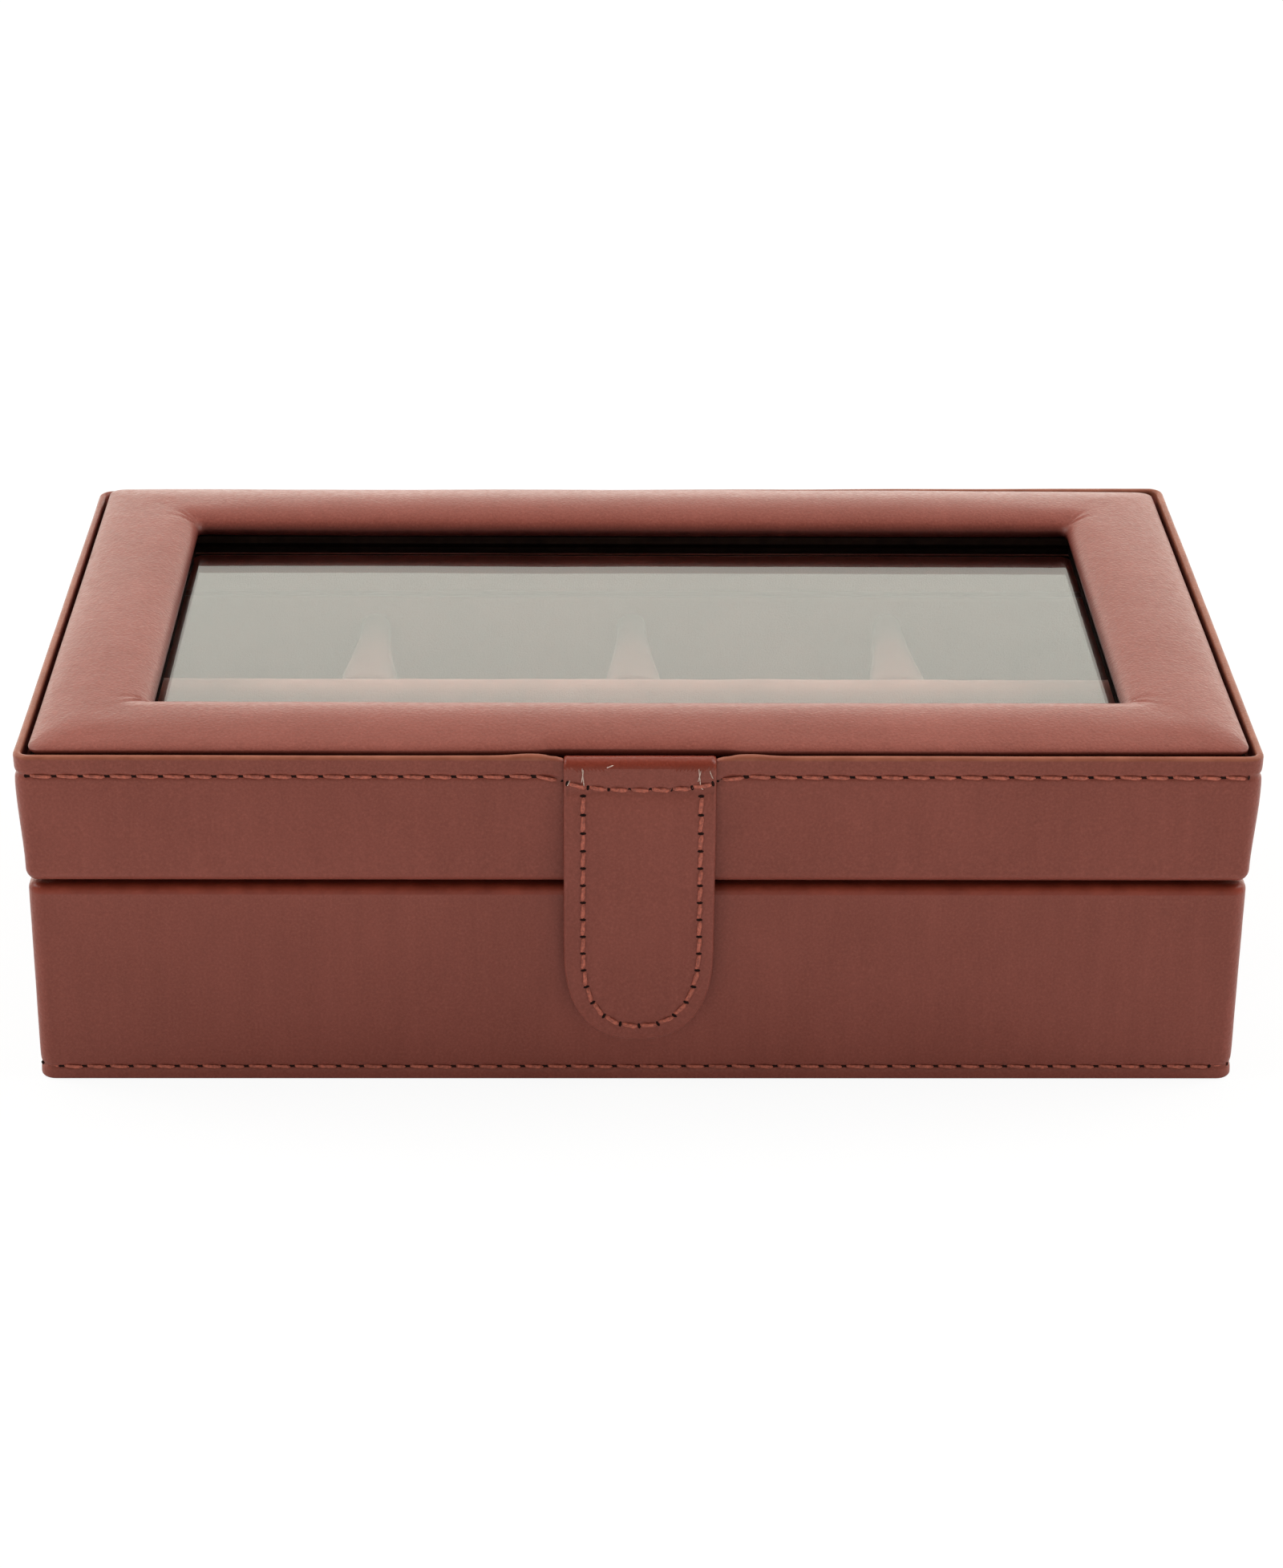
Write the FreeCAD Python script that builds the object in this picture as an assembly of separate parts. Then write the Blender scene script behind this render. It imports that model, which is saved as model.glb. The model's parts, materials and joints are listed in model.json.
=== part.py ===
import FreeCAD, Part
import math
import os

# Cufflink box: a leather-covered tray with a hinged lid, whose padded leather frame holds a glass
# pane. A leather tab sewn over the lid's front rim hangs down over the seam and closes on a magnet.
# Millimetres. The origin is the centre of the underside, +X to the right, -Y to the front, +Z up.

# ---- Outer sizes ----
base_w = 182.3            # width of the tray over its leather
base_d = 109.3            # depth of the tray over its leather
base_h = 33.0             # height of the tray
seam_gap = 0.5            # between tray and closed lid
lid_h = 21.1              # from the lid's lower edge to the top of its rim
lid_overhang = 0.15       # lid's lower edge beyond the tray, each side
rim_flare = 0.7           # rim beyond the lid's lower edge, each side
corner_r = 2.4            # upright corners, over the leather
foot_edge_r = 2.0         # tray's lower outer edge
base_edge_bevel = 0.6     # tray's upper outer edge
lid_edge_r = 2.0          # lid's lower outer edge

# ---- Boards and coverings ----
leather_t = 0.9
board_t = 3.0             # front, left and right boards of the tray
back_board_t = 5.0        # back board of the tray, thicker because it carries the hinges
floor_board_t = 3.0
underside_lap = 5.0       # width of leather turned under the tray
underside_gap = 0.3       # between that leather and the underside cover
liner_t = 1.0             # velour on card, on the inside of the walls
floor_lining_t = 1.0
liner_edge_r = 0.4
neck_rise = 3.1           # tray liners above the top of the tray
neck_gap = 0.6            # lid clear of the tray liners

# ---- Dividers ----
columns = 4
rows = 3
divider_t = 5.0
divider_rise = 1.4        # dividers above the top of the tray
lap_gap = 0.1             # in the slots where dividers cross
end_gap = 0.2             # at the ends of a divider

# ---- Top of the lid ----
rim_t = 1.2               # thickness of the raised rim welt
rim_rise = 3.2            # rim above the top board
rim_edge_bevel = 0.5      # both upper edges of the rim
groove_w = 1.1            # between the rim and the padding
top_board_t = 3.0
top_lining_t = 1.0
glass_t = 2.0
glass_ledge = 3.5         # width of board under each edge of the glass
glass_gap = 0.3           # between the glass and the side of its rebate
window_inset = 0.7        # board's window beyond the padding's window, each side
pad_border = 16.4         # width of the padded frame
pad_corner_r = 1.6
pad_core_t = 1.2
pad_cover_t = 0.8
pad_groove_h = 2.6        # height of the padding at the groove
pad_crown_h = 5.2         # height of the padding at its crest
pad_window_h = 4.0        # height of the padding at the window
pad_crest_at = 7.4        # crest, measured in from the groove
pad_lip_r = 2.2           # edge of the padding at the window

# ---- Hinges ----
hinge_inset = 36.15       # middle of each hinge from the tray's side
hinge_l = 20.0
knuckles = 3
knuckle_gap = 0.1
barrel_r = 1.6
barrel_out = 1.5          # hinge axis behind the tray's back
barrel_relief = 0.3       # leather and board clear of the barrel
leaf_t = 1.0
leaf_reach = 6.7          # from the hinge axis to the leaf's front edge
leaf_gap = 0.1
pin_r = 0.7
pin_gap = 0.05
pin_end_l = 0.3           # pin beyond each end of the barrel

# ---- Hinge screws ----
screw_x = 6.6             # each screw from the middle of its hinge
screw_shank_r = 0.65
screw_head_r = 1.3
screw_head_l = 0.65       # let in flush with the leaf
screw_l = 6.0
screw_gap = 0.05
screw_board_at = 0.45     # place across the back board, from its inner face

# ---- Tab ----
tab_w = 22.4
tab_ply_t = 1.0
tab_tip_l = 12.8          # length of the tab's rounded end
tab_tip_z = 8.2           # lowest point of the tab
tab_top_drop = 0.1        # top of the tab's fold below the rim
tab_anchor_l = 4.2        # sewn part, from the top of the fold down
tab_fold_gap = 0.3        # between the sewn part and the swinging part
tab_face_gap = 0.25       # swinging part clear of the lid's front
tab_base_gap = 0.35       # swinging part clear of the tray's front
tab_notch_gap = 0.3       # rim clear of each side of the tab
magnet_r = 5.0
magnet_t = 0.6
magnet_up = 11.5          # magnets above the tab's lowest point
magnet_gap = 0.05
base_magnet_t = 1.6

# ---- Limits and workshop sizes ----
edge_share = 0.95         # widest edge rounding, as a share of the corner radius
half_share = 0.45         # widest rounding of one edge, as a share of the thickness
least_r = 0.3             # smallest inner corner radius
glass_edge = 0.3          # ground edge of the glass
magnet_ply_share = 0.8    # deepest magnet pocket, as a share of a ply
past = 1.0                # how far a cutting shape passes the piece that it cuts
tiny = 1e-6               # lengths smaller than this count as none

# ---- Levels ----
board_foot_z = leather_t
floor_z = board_foot_z + floor_board_t
well_z = floor_z + floor_lining_t
base_board_top = base_h - leather_t
neck_z = base_h + neck_rise
divider_z = base_h + divider_rise
lid_z = base_h + seam_gap
lid_board_foot = lid_z + leather_t
rim_z = lid_z + lid_h
top_board_z = rim_z - rim_rise
glass_z = top_board_z
ledge_z = glass_z - glass_t
top_board_under = top_board_z - top_board_t
lining_under = top_board_under - top_lining_t
pad_core_z = top_board_z + pad_core_t
axis_z = base_h + seam_gap / 2

# ---- Plan sizes ----
hinge_x = base_w / 2 - hinge_inset
inner_x = base_w / 2 - leather_t - board_t                # inner faces of the side boards
inner_front = -(base_d / 2 - leather_t - board_t)         # inner face of the front board
inner_back = base_d / 2 - leather_t - back_board_t        # inner face of the back board
well_x = inner_x - liner_t
well_front = inner_front + liner_t
well_back = inner_back - liner_t
lid_w = base_w + 2 * lid_overhang
lid_d = base_d + 2 * lid_overhang
lid_inner_x = inner_x + neck_gap
lid_inner_front = inner_front - neck_gap
lid_inner_back = inner_back + neck_gap
rim_w = lid_w + 2 * rim_flare
rim_d = lid_d + 2 * rim_flare
pad_w = rim_w - 2 * (rim_t + groove_w)
pad_d = rim_d - 2 * (rim_t + groove_w)
window_w = pad_w - 2 * pad_border
window_d = pad_d - 2 * pad_border
board_window_w = window_w + 2 * window_inset
board_window_d = window_d + 2 * window_inset
glass_w = board_window_w + 2 * glass_ledge
glass_d = board_window_d + 2 * glass_ledge
axis_y = base_d / 2 + barrel_out


def vec(x, y, z):
    return FreeCAD.Vector(x, y, z)


def box(x0, x1, y0, y1, z0, z1):
    """A plain block between two opposite corners."""
    return Part.makeBox(x1 - x0, y1 - y0, z1 - z0, vec(x0, y0, z0))


def centred(w, d, z0, z1):
    """A plain block centred on the upright axis."""
    return box(-w / 2, w / 2, -d / 2, d / 2, z0, z1)


def is_upright(edge):
    """True for an edge that climbs from one level to another."""
    return edge.BoundBox.ZLength > max(edge.BoundBox.XLength, edge.BoundBox.YLength)


def edges_at(shape, z):
    """The edges that lie flat at a level."""
    found = []
    for edge in shape.Edges:
        flat = edge.BoundBox.ZLength < tiny
        if flat and abs(edge.BoundBox.ZMin - z) < tiny:
            found.append(edge)
    return found


def rounded_block(w, d, z0, z1, upright_r, foot_r=0.0, bevel=0.0):
    """A centred block with rounded upright corners, a rounded lower edge and a bevelled upper one."""
    return rounded(centred(w, d, z0, z1), z0, z1, upright_r, foot_r, bevel)


def rounded(block, z0, z1, upright_r, foot_r=0.0, bevel=0.0):
    """Rounds a four-sided block's upright corners, then rounds its foot and bevels its top."""
    most = upright_r * edge_share
    block = block.makeFillet(upright_r, [e for e in block.Edges if is_upright(e)])
    if foot_r > 0:
        block = block.makeFillet(min(foot_r, most), edges_at(block, z0))
    if bevel > 0:
        block = block.makeChamfer(min(bevel, most), edges_at(block, z1))
    return block


def flat_face(points):
    """A flat face with straight edges."""
    return Part.Face(Part.makePolygon(points + points[:1]))


def tapered_block(w0, d0, z0, w1, d1, z1):
    """A centred block with four sloping flat sides: its front and side views, crossed."""
    reach = max(w0, d0, w1, d1)
    outline = [(-1, z0), (1, z0), (1, z1), (-1, z1)]
    halves = {z0: (w0 / 2, d0 / 2), z1: (w1 / 2, d1 / 2)}
    front_view = flat_face([vec(sign * halves[z][0], -reach, z) for sign, z in outline])
    side_view = flat_face([vec(-reach, sign * halves[z][1], z) for sign, z in outline])
    return front_view.extrude(vec(0, 2 * reach, 0)).common(side_view.extrude(vec(2 * reach, 0, 0)))


def cylinder_x(radius, length, x, y, z):
    """A cylinder along X, from x to x + length."""
    return Part.makeCylinder(radius, length, vec(x, y, z), vec(1, 0, 0))


def rotated(shape, angle, centre=(0, 0, 0), axis=(0, 0, 1)):
    """A turned copy."""
    copy = shape.copy()
    copy.rotate(vec(*centre), vec(*axis), angle)
    return copy


# ---- Hinge parts ----

knuckle_l = (hinge_l - (knuckles - 1) * knuckle_gap) / knuckles
hinge_places = {"left": -hinge_x, "right": hinge_x}


def knuckle_spans(x, first):
    """Start and end of every second knuckle of a hinge centred at x."""
    pitch = knuckle_l + knuckle_gap
    starts = [x - hinge_l / 2 + index * pitch for index in range(first, knuckles, 2)]
    return [(start, start + knuckle_l) for start in starts]


def hinge_leaf(x, side):
    """A leaf with its knuckles. side is -1 for the tray's leaf and +1 for the lid's."""
    near = axis_z + side * seam_gap / 2
    far = near + side * leaf_t
    own = knuckle_spans(x, 0 if side < 0 else 1)
    other = knuckle_spans(x, 1 if side < 0 else 0)
    z0, z1 = min(near, far), max(near, far)
    leaf = box(x - hinge_l / 2, x + hinge_l / 2, axis_y - leaf_reach, axis_y, z0, z1)
    for start, end in own:
        leaf = leaf.fuse(cylinder_x(barrel_r, end - start, start, axis_y, axis_z))
    room = barrel_r + leaf_gap
    for start, end in other:
        notch = (axis_y - room, axis_y + room, axis_z - room, axis_z + room)
        leaf = leaf.cut(box(start - knuckle_gap, end + knuckle_gap, *notch))
    start = x - hinge_l / 2 - past
    leaf = leaf.cut(cylinder_x(pin_r + pin_gap, hinge_l + 2 * past, start, axis_y, axis_z))
    for screw_place in (x - screw_x, x + screw_x):
        leaf = leaf.cut(screw_shape(screw_place, side, screw_gap))
    return leaf.removeSplitter()


def hinge_pin(x):
    """The pin. Its ends stand out of the barrel."""
    length = hinge_l + 2 * pin_end_l
    return cylinder_x(pin_r, length, x - length / 2, axis_y, axis_z)


def screw_place_y():
    """Every hinge screw stands in the back boards, this far back."""
    return inner_back + screw_board_at * back_board_t


def pilot_hole(x, side):
    """The hole for a screw's shank in the leather and the board."""
    head = axis_z + side * seam_gap / 2
    place = vec(x, screw_place_y(), head)
    return Part.makeCylinder(screw_shank_r + screw_gap, screw_l + screw_gap, place, vec(0, 0, side))


def screw_shape(x, side, gap):
    """A screw with a flat head, or with a gap the hole for it. side is the way that it points."""
    head = axis_z + side * seam_gap / 2
    y = screw_place_y()
    profile = [
        (0, 0),
        (screw_head_r + gap, 0),
        (screw_head_r + gap, screw_head_l),
        (screw_shank_r + gap, screw_head_l),
        (screw_shank_r + gap, screw_l + gap),
        (0, screw_l + gap),
        (0, 0),
    ]
    points = [vec(x + r, y, head + side * depth) for r, depth in profile]
    face = Part.Face(Part.makePolygon(points))
    return face.revolve(vec(x, y, 0), vec(0, 0, 1), 360)


def hinge_screws(side):
    """All the screws of one side, as separate solids."""
    solids = []
    for x in hinge_places.values():
        for screw_place in (x - screw_x, x + screw_x):
            solids.append(screw_shape(screw_place, side, 0))
    return Part.makeCompound(solids)


def cut_for_hinges(shape, side):
    """Mortises, screw holes and barrel clearance, cut in a board or in the leather."""
    near = axis_z + side * seam_gap / 2
    far = near + side * leaf_t
    for x in hinge_places.values():
        half = hinge_l / 2 + leaf_gap
        front = axis_y - leaf_reach - leaf_gap
        z0, z1 = min(axis_z, far), max(axis_z, far)
        shape = shape.cut(box(x - half, x + half, front, axis_y, z0, z1))
        length = hinge_l + 2 * (pin_end_l + barrel_relief)
        room = barrel_r + barrel_relief
        shape = shape.cut(cylinder_x(room, length, x - length / 2, axis_y, axis_z))
        for screw_place in (x - screw_x, x + screw_x):
            shape = shape.cut(pilot_hole(screw_place, side))
    return shape


# ---- Tray ----


def base_core():
    """The tray's boards as one block, before they are parted."""
    width = base_w - 2 * leather_t
    depth = base_d - 2 * leather_t
    upright = corner_r - leather_t
    return rounded_block(width, depth, board_foot_z, base_board_top, upright)


def base_boards():
    """Front and back boards run the full width; the sides and the floor fit between them."""
    core = base_core()
    far = base_w
    top = base_board_top
    side_depth = (inner_front, inner_back)
    front = core.common(box(-far, far, -far, inner_front, 0, top))
    front = front.cut(base_magnet(magnet_gap))
    back = core.common(box(-far, far, inner_back, far, 0, top))
    left = core.common(box(-far, -inner_x, *side_depth, 0, top))
    right = core.common(box(inner_x, far, *side_depth, 0, top))
    floor = box(-inner_x, inner_x, *side_depth, board_foot_z, floor_z)
    return {
        "base_front_board": front,
        "base_back_board": cut_for_hinges(back, -1),
        "base_left_board": left,
        "base_right_board": right,
        "base_floor_board": floor,
    }


def base_leather_wrap():
    """Leather round the tray, turned over the top edge and under the bottom edge."""
    outer = rounded_block(base_w, base_d, 0, base_h, corner_r, foot_edge_r, base_edge_bevel)
    skin = outer.cut(base_core())
    skin = skin.cut(box(-inner_x, inner_x, inner_front, inner_back, floor_z, base_h + past))
    lap = 2 * underside_lap
    under = centred(base_w - lap, base_d - lap, -past, leather_t)
    skin = skin.cut(under)
    return cut_for_hinges(skin, -1)


def base_underside_cover():
    """The sheet that fills the space inside the turned-under leather."""
    lap = 2 * (underside_lap + underside_gap)
    return rounded_block(base_w - lap, base_d - lap, 0, leather_t, corner_r)


def base_magnet(gap=0.0):
    """The magnet under the leather of the tray's front, or with a gap its pocket."""
    face = -(base_d / 2 - leather_t)
    z = tab_tip_z + magnet_up
    centre = vec(0, face, z)
    return Part.makeCylinder(magnet_r + gap, base_magnet_t + gap, centre, vec(0, 1, 0))


def panel(x0, x1, y0, y1, z0, z1):
    """A lining card with its long upper edges rounded."""
    block = box(x0, x1, y0, y1, z0, z1)
    along_x = (x1 - x0) > (y1 - y0)
    edges = []
    for edge in edges_at(block, z1):
        length = edge.BoundBox.XLength if along_x else edge.BoundBox.YLength
        if length > 1e-3:
            edges.append(edge)
    return block.makeFillet(min(liner_edge_r, liner_t * half_share), edges)


def base_linings():
    """The floor lining, and four liners that stand above the tray as the lid's neck."""
    return {
        "base_floor_lining": box(-inner_x, inner_x, inner_front, inner_back, floor_z, well_z),
        "base_front_liner": panel(-inner_x, inner_x, inner_front, well_front, well_z, neck_z),
        "base_back_liner": panel(-inner_x, inner_x, well_back, inner_back, well_z, neck_z),
        "base_left_liner": panel(-inner_x, -well_x, well_front, well_back, well_z, neck_z),
        "base_right_liner": panel(well_x, inner_x, well_front, well_back, well_z, neck_z),
    }


# ---- Dividers ----

long_places = {"front": 1, "rear": 2}
cross_places = {"left": 1, "centre": 2, "right": 3}
row_clear = (well_back - well_front - (rows - 1) * divider_t) / rows
column_clear = (2 * well_x - (columns - 1) * divider_t) / columns


def long_divider_y(index):
    """Middle of a lengthwise divider."""
    return well_front + index * (row_clear + divider_t) - divider_t / 2


def cross_divider_x(index):
    """Middle of a cross divider."""
    return -well_x + index * (column_clear + divider_t) - divider_t / 2


def padded_strip(length):
    """A standing strip along X, centred on the origin, with a round top."""
    half = divider_t / 2
    shoulder = divider_z - half
    side = Part.LineSegment(vec(0, -half, well_z), vec(0, half, well_z)).toShape()
    back = Part.LineSegment(vec(0, half, well_z), vec(0, half, shoulder)).toShape()
    crown = Part.Arc(vec(0, half, shoulder), vec(0, 0, divider_z), vec(0, -half, shoulder)).toShape()
    front = Part.LineSegment(vec(0, -half, shoulder), vec(0, -half, well_z)).toShape()
    strip = Part.Face(Part.Wire([side, back, crown, front])).extrude(vec(length, 0, 0))
    strip.translate(vec(-length / 2, 0, 0))
    return strip


def dividers():
    """Lengthwise and cross dividers, halved into each other where they cross."""
    parts = {}
    middle = (well_z + divider_z) / 2
    slot = divider_t / 2 + lap_gap
    long_ys = [long_divider_y(index) for index in long_places.values()]
    cross_xs = [cross_divider_x(index) for index in cross_places.values()]
    for name, y in zip(long_places, long_ys):
        strip = padded_strip(2 * well_x - 2 * end_gap)
        strip.translate(vec(0, y, 0))
        for x in cross_xs:
            notch = box(x - slot, x + slot, y - divider_t, y + divider_t, middle, neck_z)
            strip = strip.cut(notch)
        parts["divider_long_" + name] = strip
    for name, x in zip(cross_places, cross_xs):
        strip = rotated(padded_strip(well_back - well_front - 2 * end_gap), 90)
        strip.translate(vec(x, (well_front + well_back) / 2, 0))
        for y in long_ys:
            notch = box(x - divider_t, x + divider_t, y - slot, y + slot, 0, middle + lap_gap)
            strip = strip.cut(notch)
        parts["divider_cross_" + name] = strip
    return parts


# ---- Lid shell ----


def lid_core():
    """The lid's boards as one block, before they are parted."""
    width = lid_w - 2 * leather_t
    depth = lid_d - 2 * leather_t
    upright = corner_r - leather_t
    return rounded_block(width, depth, lid_board_foot, top_board_z, upright)


def lid_boards():
    """Four walls under a top board that has the window and the rebate for the glass."""
    core = lid_core()
    far = base_w
    low = lid_z
    high = top_board_under
    side_depth = (lid_inner_front, lid_inner_back)
    front = core.common(box(-far, far, -far, lid_inner_front, low, high))
    back = core.common(box(-far, far, lid_inner_back, far, low, high))
    left = core.common(box(-far, -lid_inner_x, *side_depth, low, high))
    right = core.common(box(lid_inner_x, far, *side_depth, low, high))
    top = core.common(centred(2 * far, 2 * far, high, top_board_z))
    top = top.cut(centred(board_window_w, board_window_d, high, top_board_z))
    rebate = 2 * glass_gap
    top = top.cut(centred(glass_w + rebate, glass_d + rebate, ledge_z, top_board_z))
    return {
        "lid_front_board": front,
        "lid_back_board": cut_for_hinges(back, 1),
        "lid_left_board": left,
        "lid_right_board": right,
        "lid_top_board": top,
    }


def lid_side_wrap():
    """Leather round the lid's walls, fuller towards the rim and turned under at the seam."""
    outer = tapered_block(lid_w, lid_d, lid_z, rim_w, rim_d, top_board_z)
    outer = rounded(outer, lid_z, top_board_z, corner_r, lid_edge_r)
    skin = outer.cut(lid_core())
    skin = skin.cut(box(-lid_inner_x, lid_inner_x, lid_inner_front, lid_inner_back, 0, rim_z))
    return cut_for_hinges(skin, 1)


def welt_top(height, y):
    """Outline across the rim at its front: the turned edge with its bevelled top."""
    bevel = min(rim_edge_bevel, rim_t * half_share)
    outer_y = -y
    inner_y = outer_y + rim_t
    points = [
        vec(0, outer_y, top_board_z),
        vec(0, outer_y, height - bevel),
        vec(0, outer_y + bevel, height),
        vec(0, inner_y - bevel, height),
        vec(0, inner_y, height - bevel),
        vec(0, inner_y, top_board_z),
    ]
    return Part.Face(Part.makePolygon(points + points[:1]))


tab_top_z = rim_z - tab_top_drop
pressed_rim_z = tab_top_z - tab_ply_t


def lid_rim_welt():
    """The raised turned edge round the top, pressed lower where the tab is sewn over it."""
    bevel = min(rim_edge_bevel, rim_t * half_share)
    inner_r = max(corner_r - rim_t, least_r)
    outer = rounded_block(rim_w, rim_d, top_board_z, rim_z, corner_r)
    inner = rounded_block(rim_w - 2 * rim_t, rim_d - 2 * rim_t, top_board_z, rim_z, inner_r)
    ring = outer.cut(inner)
    ring = ring.makeChamfer(bevel, edges_at(ring, rim_z))
    half = tab_w / 2 + tab_notch_gap
    y = rim_d / 2
    depth = (-y - past, -y + rim_t + past)
    ring = ring.cut(box(-half, half, *depth, top_board_z - past, rim_z + past))
    pressed = welt_top(pressed_rim_z, y).extrude(vec(2 * half, 0, 0))
    pressed.translate(vec(-half, 0, 0))
    return ring.fuse(pressed).removeSplitter()


def glass_pane():
    """The pane in its rebate, with its edges ground."""
    pane = centred(glass_w, glass_d, ledge_z, glass_z)
    return pane.makeChamfer(min(glass_edge, glass_t / 4), pane.Edges)


def lid_linings():
    """The lining under the top board, and liners on the walls above the tray's neck."""
    wall = liner_t
    low = neck_z + neck_gap
    high = lining_under
    x = lid_inner_x
    front = lid_inner_front
    back = lid_inner_back
    frame = box(-x, x, front, back, lining_under, top_board_under)
    frame = frame.cut(centred(board_window_w, board_window_d, lining_under, top_board_under))
    return {
        "lid_top_lining": frame,
        "lid_front_liner": box(-x, x, front, front + wall, low, high),
        "lid_back_liner": box(-x, x, back - wall, back, low, high),
        "lid_left_liner": box(-x, -x + wall, front + wall, back - wall, low, high),
        "lid_right_liner": box(x - wall, x, front + wall, back - wall, low, high),
    }


# ---- Padded frame ----


def pad_section(inset, foot):
    """Outline across the padding, from the groove to the window, inset by a thickness."""
    far = pad_border - inset
    lip = max(pad_lip_r - inset, 0.2)
    groove_z = top_board_z + pad_groove_h - inset
    crest_z = top_board_z + pad_crown_h - inset
    window_z = top_board_z + pad_window_h - inset
    start = vec(0, inset, foot)
    shoulder = vec(0, inset, groove_z)
    crest = vec(0, pad_crest_at, crest_z)
    brow = vec(0, far - lip, window_z)
    edge = vec(0, far, window_z - lip)
    end = vec(0, far, foot)
    bend = lip * math.sqrt(0.5)
    middle = vec(0, far - lip + bend, window_z - lip + bend)
    edges = [
        Part.LineSegment(start, shoulder).toShape(),
        Part.Arc(shoulder, crest, brow).toShape(),
        Part.Arc(brow, middle, edge).toShape(),
        Part.LineSegment(edge, end).toShape(),
        Part.LineSegment(end, start).toShape(),
    ]
    return Part.Face(Part.Wire(edges))


def ring_side(section, half_l, half_across):
    """One mitred side of a ring: the section runs along X on the -Y side."""
    bar = section.copy()
    bar.translate(vec(-half_l, -half_across, 0))
    bar = bar.extrude(vec(2 * half_l, 0, 0))
    reach = pad_border + 1
    trapezoid = [
        vec(-half_l, -half_across, 0),
        vec(half_l, -half_across, 0),
        vec(half_l - reach, -half_across + reach, 0),
        vec(-half_l + reach, -half_across + reach, 0),
    ]
    wedge = flat_face(trapezoid).extrude(vec(0, 0, 2 * rim_z))
    return bar.common(wedge)


def mitred_ring(section):
    """The section carried round the padded frame, with mitred corners."""
    front = ring_side(section, pad_w / 2, pad_d / 2)
    left = rotated(ring_side(section, pad_d / 2, pad_w / 2), -90)
    ring = front.multiFuse([left, rotated(front, 180), rotated(left, 180)])
    return ring.removeSplitter()


def padded_frame():
    """A card ring, foam on it, and the leather drawn over both."""
    outline = rounded_block(pad_w, pad_d, top_board_z, 2 * rim_z, pad_corner_r)
    inner_r = max(pad_corner_r - pad_cover_t, least_r)
    inset = 2 * pad_cover_t
    inside = rounded_block(pad_w - inset, pad_d - inset, top_board_z, 2 * rim_z, inner_r)
    whole = mitred_ring(pad_section(0, top_board_z)).common(outline)
    filling = mitred_ring(pad_section(pad_cover_t, top_board_z)).common(inside)
    split = centred(rim_w, rim_d, 0, pad_core_z)
    return {
        "pad_cover": whole.cut(filling),
        "pad_foam": filling.cut(split),
        "pad_core_card": filling.common(split),
    }


# ---- Tab ----

lid_front_at_fold = rim_d / 2
fold_r = tab_ply_t
tab_axis_z = tab_top_z - tab_anchor_l - tab_fold_gap - fold_r
tab_axis_y = -(lid_front_at_fold + tab_face_gap + fold_r)
tab_l = tab_axis_z - tab_tip_z
tab_lean_run = (-base_d / 2 - tab_base_gap) - (tab_axis_y + fold_r)
tab_lean = math.degrees(math.atan2(tab_lean_run, tab_l))


def tab_anchor():
    """The end of the tab that is sewn over the rim: down into the groove, and down the front."""
    y = rim_d / 2
    outer = welt_top_offset(y, tab_ply_t, tab_top_z)
    inner = welt_top(pressed_rim_z, y)
    hook = outer.cut(inner).extrude(vec(tab_w, 0, 0))
    hook.translate(vec(-tab_w / 2, 0, 0))
    leg = box(-tab_w / 2, tab_w / 2, -y - tab_ply_t, -y, tab_top_z - tab_anchor_l, top_board_z)
    return hook.fuse(leg).removeSplitter()


def welt_top_offset(y, offset, height):
    """Outline of the rim's turned edge, grown by an offset on its two sides and top."""
    r = min(rim_edge_bevel, rim_t * half_share) + offset
    block = box(-1, 0, -y - offset, -y + rim_t + offset, top_board_z, height)
    upper = [e for e in edges_at(block, height) if e.BoundBox.XLength > 0.5]
    block = block.makeFillet(r, upper)
    faces = [f for f in block.Faces if abs(f.BoundBox.XMin) < tiny and f.BoundBox.XLength < tiny]
    return faces[0]


def tab_outline():
    """Front outline of the swinging part, hung from the fold's axis at the origin."""
    half = tab_w / 2
    shoulder = -(tab_l - tab_tip_l)
    corners = [vec(-half, 0, shoulder), vec(-half, 0, 0), vec(half, 0, 0), vec(half, 0, shoulder)]
    edges = [Part.LineSegment(a, b).toShape() for a, b in zip(corners, corners[1:])]
    for side in (1, -1):
        curve = Part.BezierCurve()
        curve.setPoles([vec(side * half, 0, shoulder), vec(side * half, 0, -tab_l), vec(0, 0, -tab_l)])
        curve.setWeight(2, math.sqrt(0.5))
        edges.append(curve.toShape())
    return Part.Face(Part.Wire(Part.__sortEdges__(edges)))


def hung(shape):
    """A tab piece leant in towards the tray and moved to the fold's axis."""
    placed = rotated(shape, tab_lean, axis=(1, 0, 0))
    placed.translate(vec(0, tab_axis_y, tab_axis_z))
    return placed


def tab_ply(side):
    """One ply, in front of (-1) or behind (+1) the tab's middle plane, with a rounded upper end."""
    ply = tab_outline().extrude(vec(0, side * tab_ply_t, 0))
    nose = cylinder_x(fold_r, tab_w, -tab_w / 2, 0, 0)
    y0, y1 = min(0, side * fold_r), max(0, side * fold_r)
    nose = nose.common(box(-tab_w, tab_w, y0, y1, 0, fold_r))
    return ply.fuse(nose).removeSplitter()


def tab_magnet(gap=0.0):
    """The magnet behind the outer ply, let into the inner one, or with a gap its pocket."""
    centre = vec(0, 0, -(tab_l - magnet_up))
    depth = min(magnet_t, tab_ply_t * magnet_ply_share)
    return Part.makeCylinder(magnet_r + gap, depth + gap, centre, vec(0, 1, 0))


def tab_parts():
    """Two plies with the magnet between them."""
    return {
        "tab_outer_ply": hung(tab_ply(-1)),
        "tab_inner_ply": hung(tab_ply(1).cut(tab_magnet(magnet_gap))),
        "tab_magnet": hung(tab_magnet()),
    }


# ---- The whole box ----


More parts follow.
